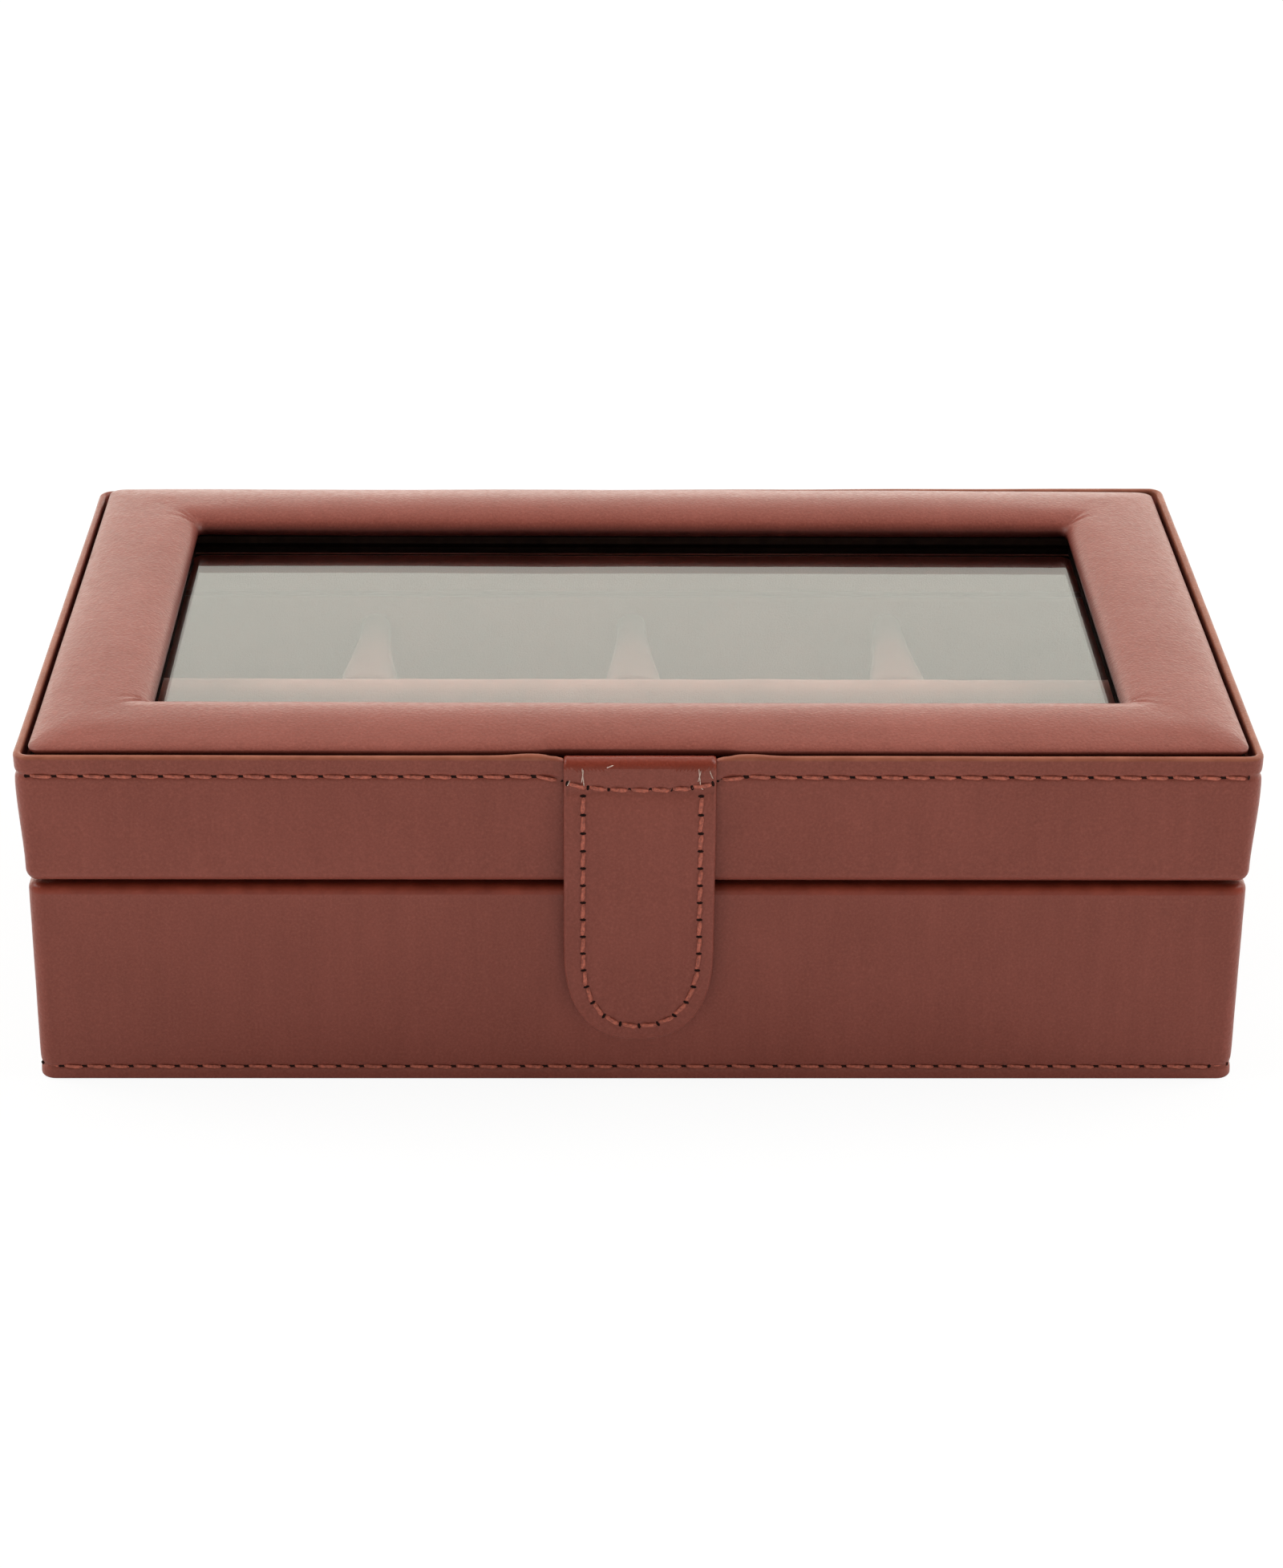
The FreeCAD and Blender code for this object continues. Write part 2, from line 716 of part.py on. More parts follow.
def hinge_parts():
    """Two butt hinges: a leaf in the tray, a leaf in the lid, and a pin."""
    parts = {}
    for name, x in hinge_places.items():
        parts["hinge_" + name + "_base_leaf"] = hinge_leaf(x, -1)
        parts["hinge_" + name + "_lid_leaf"] = hinge_leaf(x, 1)
        parts["hinge_" + name + "_pin"] = hinge_pin(x)
    parts["hinge_base_screws"] = hinge_screws(-1)
    parts["hinge_lid_screws"] = hinge_screws(1)
    return parts


def all_parts():
    """Every node of the box by name."""
    parts = {}
    parts.update(base_boards())
    parts["base_leather_wrap"] = base_leather_wrap()
    parts["base_underside_cover"] = base_underside_cover()
    parts["base_magnet"] = base_magnet()
    parts.update(base_linings())
    parts.update(dividers())
    parts.update(hinge_parts())
    parts.update(lid_boards())
    parts["lid_side_wrap"] = lid_side_wrap()
    parts["lid_rim_welt"] = lid_rim_welt()
    parts.update(padded_frame())
    parts["glass_pane"] = glass_pane()
    parts.update(lid_linings())
    parts["tab_anchor"] = tab_anchor()
    parts.update(tab_parts())
    return parts


os.makedirs("parts", exist_ok=True)
for node, shape in all_parts().items():
    shape.exportStep("parts/" + node + ".step")
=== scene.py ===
import json
import math

import bpy
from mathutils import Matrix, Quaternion, Vector, noise
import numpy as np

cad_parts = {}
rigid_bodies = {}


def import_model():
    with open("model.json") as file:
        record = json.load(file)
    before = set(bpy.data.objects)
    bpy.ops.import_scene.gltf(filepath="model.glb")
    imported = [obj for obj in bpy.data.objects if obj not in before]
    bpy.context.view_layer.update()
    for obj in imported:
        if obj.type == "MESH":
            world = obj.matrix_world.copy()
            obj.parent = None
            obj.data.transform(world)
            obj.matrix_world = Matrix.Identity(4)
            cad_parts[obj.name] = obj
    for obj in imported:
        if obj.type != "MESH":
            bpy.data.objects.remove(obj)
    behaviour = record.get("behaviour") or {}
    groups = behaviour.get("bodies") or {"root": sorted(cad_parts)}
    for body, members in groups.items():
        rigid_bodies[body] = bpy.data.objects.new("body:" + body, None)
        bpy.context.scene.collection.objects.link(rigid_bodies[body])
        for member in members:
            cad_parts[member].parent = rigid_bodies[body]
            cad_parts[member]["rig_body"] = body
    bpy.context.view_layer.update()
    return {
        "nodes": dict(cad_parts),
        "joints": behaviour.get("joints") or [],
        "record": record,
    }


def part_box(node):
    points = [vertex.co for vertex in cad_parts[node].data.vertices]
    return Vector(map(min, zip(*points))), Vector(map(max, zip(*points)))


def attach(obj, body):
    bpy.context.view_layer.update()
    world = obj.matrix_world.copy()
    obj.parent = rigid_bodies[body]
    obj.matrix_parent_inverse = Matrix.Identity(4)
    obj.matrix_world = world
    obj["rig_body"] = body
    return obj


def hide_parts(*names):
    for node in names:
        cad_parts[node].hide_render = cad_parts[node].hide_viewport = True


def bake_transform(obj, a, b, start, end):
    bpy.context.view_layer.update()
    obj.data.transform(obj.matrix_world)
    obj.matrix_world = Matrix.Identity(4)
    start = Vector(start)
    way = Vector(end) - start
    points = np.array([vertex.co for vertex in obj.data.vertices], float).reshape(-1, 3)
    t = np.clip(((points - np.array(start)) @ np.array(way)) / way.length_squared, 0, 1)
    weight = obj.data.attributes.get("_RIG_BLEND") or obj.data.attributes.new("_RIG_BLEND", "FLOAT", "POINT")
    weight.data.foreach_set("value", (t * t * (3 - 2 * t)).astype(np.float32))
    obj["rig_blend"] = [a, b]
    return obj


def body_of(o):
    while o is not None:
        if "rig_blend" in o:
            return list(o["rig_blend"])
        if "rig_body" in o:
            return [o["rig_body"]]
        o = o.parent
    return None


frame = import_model()

MM = 0.001

# ---- Sizes read from the frame, in metres ----

tray_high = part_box("base_leather_wrap")[1]
wrap_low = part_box("lid_side_wrap")[0]
welt_low, welt_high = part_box("lid_rim_welt")
pad_low, pad_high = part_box("pad_cover")
anchor_low, anchor_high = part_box("tab_anchor")
ply_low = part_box("tab_outer_ply")[0]
joints = {joint["name"]: joint for joint in frame["joints"]}
fold_axis = Vector(joints["tab_flip"]["pos_m"])
hinge_axis = Vector(joints["lid_hinge"]["pos_m"])

seam_z = tray_high.z
lid_z = wrap_low.z
rim_z = welt_high.z
top_board_z = welt_low.z
rim_half = Vector((welt_high.x, welt_high.y))
tray_half = Vector((tray_high.x, tray_high.y))

# ---- Sizes of the leather work ----

LEATHER = 0.9 * MM
CORNER_R = 2.4 * MM
RIM_T = 1.2 * MM
RIM_STITCH_DROP = 3.2 * MM      # stitch line below the rim
TRAY_STITCH_Z = 2.2 * MM        # stitch line above the ground
STATION = 0.9 * MM              # spacing of mesh points along a side
SIDES = ("front", "back", "left", "right")


# ---- Mesh helpers ----


def smooth_step(value):
    """0 to 1 with soft ends."""
    value = min(max(value, 0.0), 1.0)
    return value * value * (3 - 2 * value)


def bell(value, width):
    """1 at zero, falling off over a width."""
    return math.exp(-(value / width) ** 2)


def wander(point, scale, seed):
    """Smooth noise of about -1 to 1. scale is the size of its waves."""
    return noise.noise(point / scale + Vector((seed, seed * 1.7, -seed)))


def angles(start, end, steps):
    """Angles in radians between two given in degrees."""
    return [math.radians(start + (end - start) * step / steps) for step in range(steps + 1)]


def arc(x, z, r, start, end, steps):
    """Points of a round stretch of a section about its centre, between two angles in degrees."""
    return [(x + r * math.cos(a), z + r * math.sin(a)) for a in angles(start, end, steps)]


def in_scene(name, data):
    """A new object in the scene."""
    thing = bpy.data.objects.new(name, data)
    bpy.context.scene.collection.objects.link(thing)
    return thing


def new_mesh(name, verts, faces):
    """A mesh of points and faces."""
    mesh = bpy.data.meshes.new(name)
    mesh.from_pydata([tuple(vert) for vert in verts], [], faces)
    mesh.update()
    return mesh


def shade_smooth(mesh):
    """Smooth shading on every face."""
    mesh.polygons.foreach_set("use_smooth", [True] * len(mesh.polygons))


def leather_piece(name, verts, faces, material, body):
    """A new piece of leather, thread or the like that rides on a body."""
    mesh = new_mesh(name, verts, faces)
    mesh.validate()
    mesh.update()
    mesh.materials.append(material)
    shade_smooth(mesh)
    piece = in_scene(name, mesh)
    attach(piece, body)
    return piece


def second_material(piece, material, chosen):
    """Gives another material to the faces that a test chooses."""
    piece.data.materials.append(material)
    for face in piece.data.polygons:
        if chosen(face):
            face.material_index = 1


def side_steps(length):
    """How many mesh steps a straight side of this length gets."""
    return max(2, int(round(length / STATION)))


def loop_plan(half_x, half_y, corner_steps=8):
    """Step counts of a rounded rectangle: along X, along Y, and round each corner."""
    return side_steps(2 * half_x), side_steps(2 * half_y), corner_steps


def rounded_loop(hw, hd, r, z, plan):
    """Points of a rounded rectangle, from the front left corner towards +X."""
    nx, ny, nc = plan
    sides = [
        ((-hw + r, -hd), (hw - r, -hd), nx),
        ((hw, -hd + r), (hw, hd - r), ny),
        ((hw - r, hd), (-hw + r, hd), nx),
        ((-hw, hd - r), (-hw, -hd + r), ny),
    ]
    centres = [(hw - r, -hd + r), (hw - r, hd - r), (-hw + r, hd - r), (-hw + r, -hd + r)]
    points = []
    for index, (start, end, count) in enumerate(sides):
        start = Vector((*start, z))
        points += [start.lerp(Vector((*end, z)), step / count) for step in range(count + 1)]
        cx, cy = centres[index]
        for angle in corner_angles(index, nc):
            points.append(Vector((cx + r * math.cos(angle), cy + r * math.sin(angle), z)))
    return points


def corner_angles(index, steps):
    """Directions round a corner of the rectangle, without those of its two sides."""
    begin = -math.pi / 2 + index * math.pi / 2
    return [begin + math.pi / 2 * step / steps for step in range(1, steps)]


def loop_normals(plan):
    """Outward direction at each point of a rounded loop with this plan."""
    nx, ny, nc = plan
    normals = []
    for index, count in enumerate((nx, ny, nx, ny)):
        facing = -math.pi / 2 + index * math.pi / 2
        for angle in [facing] * (count + 1) + corner_angles(index, nc):
            normals.append(Vector((math.cos(angle), math.sin(angle), 0)))
    return normals


def quads(first, after, count):
    """Quads between two rings of points, given each ring's first point number."""
    faces = []
    for index in range(count):
        nxt = (index + 1) % count
        faces.append((first + index, first + nxt, after + nxt, after + index))
    return faces


def ring_cap(first, count, flip=False):
    """One face that closes a ring."""
    cap = tuple(range(first, first + count))
    return cap[::-1] if flip else cap


def loft(loops, closed, base=0):
    """(points, faces) of a skin through loops of points. A closed one joins the last loop to the
    first. base is the number of its first point."""
    count = len(loops[0])
    rings = len(loops)
    faces = []
    for row in range(rings if closed else rings - 1):
        faces += quads(base + row * count, base + (row + 1) % rings * count, count)
    return [point for ring in loops for point in ring], faces


def tubes(shapes, verts=(), faces=()):
    """(points, faces) of closed tubes, added to those given. A shape is a list of rings of points."""
    verts = list(verts)
    faces = list(faces)
    for rings in shapes:
        base = len(verts)
        count = len(rings[0])
        points, skin = loft(rings, False, base)
        verts += points
        faces += skin + [ring_cap(base, count, True), ring_cap(len(verts) - count, count)]
    return verts, faces


def bar(section, ends):
    """The two rings of a bar: a (y, z) section at both of its ends in x."""
    return [[Vector((x, y, z)) for y, z in section] for x in ends]


def line(a, b, steps):
    """Points from a to b in a section, without the end."""
    return [
        (a[0] + (b[0] - a[0]) * step / steps, a[1] + (b[1] - a[1]) * step / steps)
        for step in range(steps)
    ]


def route(corners, steps):
    """Points through the corners of a section, each stretch in its own number of steps."""
    points = []
    for start, end, count in zip(corners, corners[1:], steps):
        points += line(start, end, count)
    return points + [corners[-1]]


# ---- Materials ----


class Nodes:
    """A small builder for the nodes of a material or of the sky."""

    def __init__(self, owner):
        owner.use_nodes = True
        self.owner = owner
        self.tree = owner.node_tree

    def feed(self, socket, value):
        """Joins an output to a socket, or sets the socket to a constant."""
        if isinstance(value, bpy.types.NodeSocket):
            self.tree.links.new(value, socket)
        else:
            socket.default_value = value

    def new(self, kind, inputs=(), **values):
        """A node with its properties set and its inputs fed."""
        node = self.tree.nodes.new("ShaderNode" + kind)
        for key, value in values.items():
            setattr(node, key, value)
        for key, value in dict(inputs).items():
            self.feed(node.inputs[key], value)
        return node

    def ramp(self, fac, tones, places=(0.3, 0.7)):
        """A colour that goes through tones as fac goes through places."""
        node = self.new("ValToRGB", {"Fac": fac})
        elements = node.color_ramp.elements
        while len(elements) < len(tones):
            elements.new(0.5)
        for element, place, tone in zip(elements, places, tones):
            element.position = place
            element.color = (*tone, 1)
        return node.outputs["Color"]

    def span(self, fac, low, high, start=0.25, end=0.75, ease="LINEAR"):
        """A number from low to high as fac goes from start to end."""
        inputs = {"Value": fac, "From Min": start, "From Max": end, "To Min": low, "To Max": high}
        return self.new("MapRange", inputs, interpolation_type=ease).outputs["Result"]

    def mix(self, a, b, fac, kind="RGBA"):
        """From a to b as fac goes from 0 to 1."""
        return self.new("Mix", {"A": a, "B": b, "Factor": fac}, data_type=kind).outputs["Result"]

    def reckon(self, operation, a, b):
        """A sum or product of two numbers."""
        return self.new("Math", {0: a, 1: b}, operation=operation).outputs[0]

    def seen(self):
        """1 where the camera looks straight at it, and 0 in its light on other things."""
        return self.new("LightPath").outputs["Is Camera Ray"]


SOCKETS = {
    "metallic": "Metallic",
    "sheen": "Sheen Weight",
    "sheen_roughness": "Sheen Roughness",
    "transmission": "Transmission Weight",
    "ior": "IOR",
    "specular": "Specular IOR Level",
}


class Surface(Nodes):
    """The nodes of one of the object's materials."""

    def __init__(self, name):
        super().__init__(bpy.data.materials.new(name))
        self.shader = self.tree.nodes["Principled BSDF"]
        self.place = self.new("TexCoord").outputs["Object"]

    def stretched(self, scale):
        """The object's coordinates, scaled."""
        return self.new("Mapping", {"Scale": scale, "Vector": self.place}).outputs["Vector"]

    def noise(self, scale, detail=2.0, rough=0.5, place=None):
        """Soft noise. scale is in waves per metre."""
        inputs = {"Scale": scale, "Detail": detail, "Roughness": rough, "Vector": place or self.place}
        return self.new("TexNoise", inputs).outputs["Fac"]

    def cells(self, scale):
        """Small rounded cells, like pores."""
        inputs = {"Scale": scale, "Vector": self.place}
        return self.new("TexVoronoi", inputs, feature="SMOOTH_F1").outputs["Distance"]

    def colour(self, out):
        """The base colour follows a node's output."""
        self.feed(self.shader.inputs["Base Color"], out)

    def roughness(self, out):
        """The roughness follows a node's output."""
        self.feed(self.shader.inputs["Roughness"], out)

    def set(self, **constants):
        """Constants go straight on the shader's own sockets."""
        for key, value in constants.items():
            self.shader.inputs[SOCKETS[key]].default_value = value

    def bump(self, *layers):
        """layers are (height, distance in metres)."""
        last = None
        for height, distance in layers:
            node = self.new("Bump", {"Strength": 1.0, "Distance": distance, "Height": height})
            if last:
                self.feed(node.inputs["Normal"], last)
            last = node.outputs["Normal"]
        self.feed(self.shader.inputs["Normal"], last)

    def follow(self, pattern, tones, rough, relief=0.0, places=(0.3, 0.7), **constants):
        """The material, its colour, roughness and relief all following one pattern."""
        self.colour(self.ramp(pattern, tones, places))
        self.roughness(self.span(pattern, *rough))
        if relief:
            self.bump((pattern, relief))
        self.set(**constants)
        return self.owner


def leather_nodes(name, tones, rough=0.34):
    """Smooth grained leather: fine pores, a faint streak, and slow changes of tone."""
    m = Surface(name)
    tone = m.noise(38, 3.0, 0.6)
    streak = m.noise(1.0, 3.0, 0.6, m.stretched((420, 420, 45)))
    speckle = m.noise(2600, 2.0, 0.7)
    slow = m.ramp(tone, tones, (0.3, 0.52, 0.75))
    fine = m.ramp(speckle, tones, (0.3, 0.55, 0.75))
    streaks = m.ramp(streak, tones, (0.3, 0.55, 0.8))
    m.colour(m.mix(m.mix(slow, fine, 0.7), streaks, 0.18))
    m.roughness(m.span(m.noise(900, 2.0), rough - 0.05, rough + 0.07))
    m.bump((tone, 0.00012), (m.cells(2100), 0.00004), (speckle, 0.00003))
    m.set(specular=0.16, sheen=0.0)
    return m


def edged_leather(name, band, tones, shine_at):
    """The leather with another tone and gloss past a band of heights: painted shade on the padding, painted
    highlight on the lid's rim, and a darker, glossier top edge on the tray.
    """
    m = leather_nodes(name, LEATHER_TONES)
    height = m.new("SeparateXYZ", {0: m.place}).outputs["Z"]
    edge = m.span(height, 0.0, 1.0, *band)
    plain = m.shader.inputs["Base Color"].links[0].from_socket
    shine = m.shader.inputs["Roughness"].links[0].from_socket
    # The band's tone is painted shade on the padding and painted highlight on the lid's rim.
    turned = m.ramp(m.noise(300, 3.0), tones)
    m.colour(m.mix(plain, turned, edge))
    m.roughness(m.mix(shine, shine_at, edge, "FLOAT"))
    return m.owner


def velour_material(name, tones):
    """Short-pile cloth: soft patches where the pile lies another way, and a fine fibre."""
    m = Surface(name)
    nap = m.noise(70, 3.0, 0.55)
    fibre = m.noise(3800, 2.0, 0.7)
    patches = m.ramp(nap, tones, (0.3, 0.5, 0.72))
    fibres = m.ramp(fibre, tones, (0.3, 0.55, 0.8))
    m.colour(m.mix(patches, fibres, 0.4))
    m.roughness(m.span(fibre, 0.82, 0.98))
    m.bump((fibre, 0.00012), (nap, 0.0002))
    m.set(sheen=0.35, sheen_roughness=0.5, specular=0.2)
    return m.owner


def painted_shade_material():
    """Painted shade: a near-black, dull colour on the edges under the window's frame, where shade falls."""
    m = Surface("turned_under")
    tones = ((0.004, 0.0013, 0.0013), (0.008, 0.0026, 0.0024))
    return m.follow(m.noise(400, 3.0), tones, (0.85, 1.0), 0.00004, specular=0.02)


def thread_material(name, *tones):
    """Twisted waxed thread."""
    m = Surface(name)
    return m.follow(m.noise(2400, 2.0, 0.6), tones, (0.55, 0.75), 0.00008, (0.35, 0.65))


def hole_material():
    """Painted shade: the near-black inside of a needle hole, where shade falls."""
    m = Surface("needle_hole")
    tones = ((0.006, 0.002, 0.002), (0.018, 0.006, 0.005))
    return m.follow(m.noise(2000), tones, (0.8, 1.0), specular=0.1)


def brass_material():
    """Rolled brass with a faint brushing and a few dull patches."""
    m = Surface("brass")
    brush = m.noise(1.0, 2.0, 0.5, m.stretched((300, 6000, 6000)))
    tones = ((0.52, 0.35, 0.13), (0.78, 0.56, 0.25), (0.86, 0.66, 0.33))
    m.colour(m.ramp(m.noise(260, 3.0), tones, (0.3, 0.6, 0.85)))
    m.roughness(m.span(brush, 0.22, 0.42))
    m.bump((brush, 0.00001))
    m.set(metallic=1.0)
    return m.owner


def steel_material():
    """Plated steel of the magnets."""
    m = Surface("plated_steel")
    tones = ((0.45, 0.45, 0.46), (0.62, 0.62, 0.62))
    return m.follow(m.noise(500, 3.0), tones, (0.25, 0.4), metallic=1.0)


def board_material(name, *tones):
    """Dyed case board."""
    m = Surface(name)
    fibre = m.noise(1.0, 4.0, 0.6, m.stretched((300, 1500, 300)))
    return m.follow(fibre, tones, (0.8, 0.95), 0.00005, specular=0.05)


def foam_material():
    """Fine-celled foam."""
    m = Surface("pad_foam")
    tones = ((0.5, 0.46, 0.36), (0.74, 0.7, 0.6))
    return m.follow(m.cells(1800), tones, (0.85, 1.0), 0.0001, (0.2, 0.6))


def glass_material():
    """Clear pane with hardly visible wiping marks."""
    m = Surface("clear_glass")
    wipe = m.noise(1.0, 3.0, 0.6, m.stretched((14, 50, 30)))
    tones = ((0.93, 0.955, 0.945), (0.955, 0.975, 0.965))
    return m.follow(wipe, tones, (0.0, 0.003), transmission=1.0, ior=1.5)


LEATHER_TONES = ((0.138, 0.034, 0.024), (0.184, 0.047, 0.035), (0.240, 0.067, 0.051))
PLAIN_PILE = ((0.20, 0.050, 0.036), (0.31, 0.088, 0.066), (0.42, 0.14, 0.11))
# Painted light: a lighter copy of the velour for the long dividers, whose tops catch more light.
PAINTED_LIGHT_PILE = ((0.30, 0.095, 0.072), (0.42, 0.15, 0.115), (0.54, 0.22, 0.18))
# Painted shade: a darker copy of the velour for the cross dividers.
PAINTED_SHADE_PILE = ((0.14, 0.038, 0.028), (0.21, 0.060, 0.046), (0.29, 0.096, 0.075))
FELT_PILE = ((0.012, 0.008, 0.008), (0.022, 0.015, 0.014), (0.04, 0.028, 0.026))
DARK_EDGE = ((0.13, 0.021, 0.012), (0.19, 0.034, 0.020))
# Painted shade: near-black tone of the padding low down, in the groove by the rim and at the window's lip.
PAD_PAINTED_SHADE = ((0.030, 0.0035, 0.0025), (0.050, 0.007, 0.005))
# Painted highlight: a lighter orange-brown for the top of the lid's rim, standing in for its sheen.
RIM_PAINTED_HIGHLIGHT = ((0.18, 0.052, 0.030), (0.24, 0.078, 0.047))
# Painted shade: darker, deeper red for the tab's roll over the rim.
TAB_ROLL_PAINTED_SHADE = (DARK_EDGE[0], (0.155, 0.027, 0.016), DARK_EDGE[1])

leather = leather_nodes("brown_leather", LEATHER_TONES).owner
# Painted shade: darker leather for the tab's roll over the rim.
rolled_edge = leather_nodes("rolled_edge", TAB_ROLL_PAINTED_SHADE, 0.28).owner
tray_skin = edged_leather("tray_leather", (seam_z - 1.45 * MM, seam_z - 1.15 * MM), DARK_EDGE, 0.3)
# Painted highlight: the lid's leather takes the lighter rim tone in its top 0.3 mm, fading over the 0.3 mm
# below.
lid_skin = edged_leather("lid_leather", (rim_z - 0.6 * MM, rim_z - 0.3 * MM), RIM_PAINTED_HIGHLIGHT, 0.42)
# Painted shade: the padding darkens from 4 mm down to 2.2 mm above its board, then stays near-black.
pad_skin = edged_leather("padding_leather", (pad_low.z + 4.0 * MM, pad_low.z + 2.2 * MM), PAD_PAINTED_SHADE, 0.5)
velour = velour_material("brown_velour", PLAIN_PILE)
# Lit and shaded copies of one velour for the dividers: painted light and painted shade.
velour_raised = velour_material("velour_raised", PAINTED_LIGHT_PILE)
velour_crossed = velour_material("velour_crossed", PAINTED_SHADE_PILE)
thread = thread_material("thread", (0.19, 0.038, 0.023), (0.40, 0.100, 0.062))
frayed = thread_material("frayed_thread", (0.30, 0.19, 0.16), (0.55, 0.42, 0.37))
# Painted shade: near-black material for the edges under the window's frame.
turned_under = painted_shade_material()
hole = hole_material()
lid_wall_board = board_material("lid_wall_board", *PLAIN_PILE[:2])

slot_materials = {
    "brown_leather": leather,
    "velour": velour,
    "underside_felt": velour_material("underside_felt", FELT_PILE),
    "case_board": board_material("case_board", (0.008, 0.004, 0.0035), (0.018, 0.009, 0.007)),
    "pad_foam": foam_material(),
    "clear_glass": glass_material(),
    "brass": brass_material(),
    "magnet_steel": steel_material(),
}


def dress_cad_nodes():
    """Every CAD node gets the material of its slot. The lid's walls are dyed like the velour over them,
    because a strip of them shows above the tray's neck."""
    for part in frame["record"]["subparts"]:
        node = frame["nodes"][part["node"]]
        node.data.materials.clear()
        node.data.materials.append(slot_materials[part["material_slot"]])
    for side in SIDES:
        frame["nodes"][f"lid_{side}_board"].data.materials[0] = lid_wall_board


# ---- Round the box ----


def walk(hx, hy, r, pitch):
    """Evenly spaced (point, normal) round a rounded rectangle, starting at the front's middle."""
    corners = [(hx - r, -hy + r), (hx - r, hy - r), (-hx + r, hy - r), (-hx + r, -hy + r)]
    straights = [hx - r, 2 * (hy - r), 2 * (hx - r), 2 * (hy - r), hx - r]
    bend = math.pi / 2 * r
    total = sum(straights) + 4 * bend
    count = round(total / pitch)
    return [place_on_loop(total * index / count, corners, straights, r) for index in range(count)]


def place_on_loop(distance, corners, straights, r):
    """(point, normal) at a distance along the outline from the front's middle towards +X."""
    bend = math.pi / 2 * r
    side = 0
    while side < 4 and distance > straights[side] + bend:
        distance -= straights[side] + bend
        side += 1
    facing = math.radians(90 * side - 90)
    normal = Vector((math.cos(facing), math.sin(facing), 0))
    along = Vector((-normal.y, normal.x, 0))
    if side < 4 and distance > straights[side]:
        facing += (distance - straights[side]) / r
        normal = Vector((math.cos(facing), math.sin(facing), 0))
        return Vector((*corners[side], 0)) + normal * r, normal
    if side == 0:
        return normal * -corners[0][1] + normal * r + along * distance, normal
    begin = Vector((*corners[side - 1], 0)) + normal * r
    return begin + along * distance, normal


def cut_away(piece, cutters):
    """Cuts closed meshes out of a piece."""
    for cutter in cutters:
        modifier = piece.modifiers.new("cut", "BOOLEAN")
        modifier.operation = "DIFFERENCE"
        modifier.solver = "EXACT"
        modifier.object = cutter
    apply_modifiers(piece)
    for cutter in cutters:
        bpy.data.objects.remove(cutter)


def apply_modifiers(piece):
    """The mesh as its modifiers show it, with none left on it."""
    bpy.context.view_layer.update()
    shown = piece.evaluated_get(bpy.context.evaluated_depsgraph_get())
    mesh = bpy.data.meshes.new_from_object(shown)
    piece.modifiers.clear()
    piece.data = mesh


def hinge_cutter(node_low, node_high, up):
    """A closed box with a round back, a little larger than a hinge's barrel and leaf."""
    gap = 0.3 * MM
    barrel = 1.6 * MM + gap
    y = hinge_axis.y
    z = hinge_axis.z
    front = node_low.y - gap
    far = y + 3 * MM
    way = 1 if up else -1
    leaf = 1.35 * MM * way
    past = 2 * MM * way
    section = [(front, z), (front, z + leaf), (y - barrel, z + leaf)]
    section += arc(y, z, barrel, 180, 180 - 90 * way, 10)
    section += [(far, z + way * barrel), (far, z - past), (front, z - past)]
    shape = bar(section, (node_low.x - gap, node_high.x + gap))
    return in_scene("cutter", new_mesh("cutter", *tubes([shape])))


def hinge_cutters(up):
    """Cutters for both hinges, above or below the seam."""
    end = "lid_leaf" if up else "base_leaf"
    return [hinge_cutter(*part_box(f"hinge_{side}_{end}"), up) for side in ("left", "right")]


# ---- Stitches ----


def strand(start, end, outward, r, bow, sink):
    """Rings of a twisted strand of thread between two holes, bowed outward."""
    axis = (end - start).normalized()
    side = outward.cross(axis).normalized()
    rings = []
    for step in range(THREAD_RINGS):
        share = step / (THREAD_RINGS - 1)
        lift = (bow + sink) * math.sin(math.pi * share) ** 0.6 - sink
        centre = start.lerp(end, share) + outward * lift
        thin = 0.55 + 0.45 * math.sin(math.pi * share) ** 0.4
        ring = []
        for angle in round_angles(THREAD_SIDES):
            reach = r * thin * (1 + 0.13 * math.cos(2 * angle + 9.0 * share))
            out = outward * reach * math.sin(angle) * 0.8
            ring.append(centre + side * reach * math.cos(angle) + out)
        rings.append(ring)
    return rings


def pit(point, outward, along, r, shape):
    """Rings of a needle hole: a flattened lens lying in the leather, whose near-black colour is painted
    shade. shape is its reach along the seam and across it, as shares of r."""
    side = outward.cross(along).normalized()
    rings = []
    for rise, reach in ((-0.08 * MM, 0.8), (0.06 * MM, 1.0), (0.09 * MM, 0.8), (0.06 * MM, 0.35)):
        ring = []
        for angle in round_angles(HOLE_SIDES):
            flat = along * math.cos(angle) * shape[0] + side * math.sin(angle) * shape[1]
            ring.append(point + flat * r * reach + outward * rise)
        rings.append(ring)
    return rings


def round_angles(count):
    """Evenly spaced directions of a full turn."""
    return [2 * math.pi * index / count for index in range(count)]


THREAD_RINGS = 9
THREAD_SIDES = 9
HOLE_SIDES = 10
ROUND_HOLES = (1.1, 0.85)
SLIT_HOLES = (0.55, 1.15)


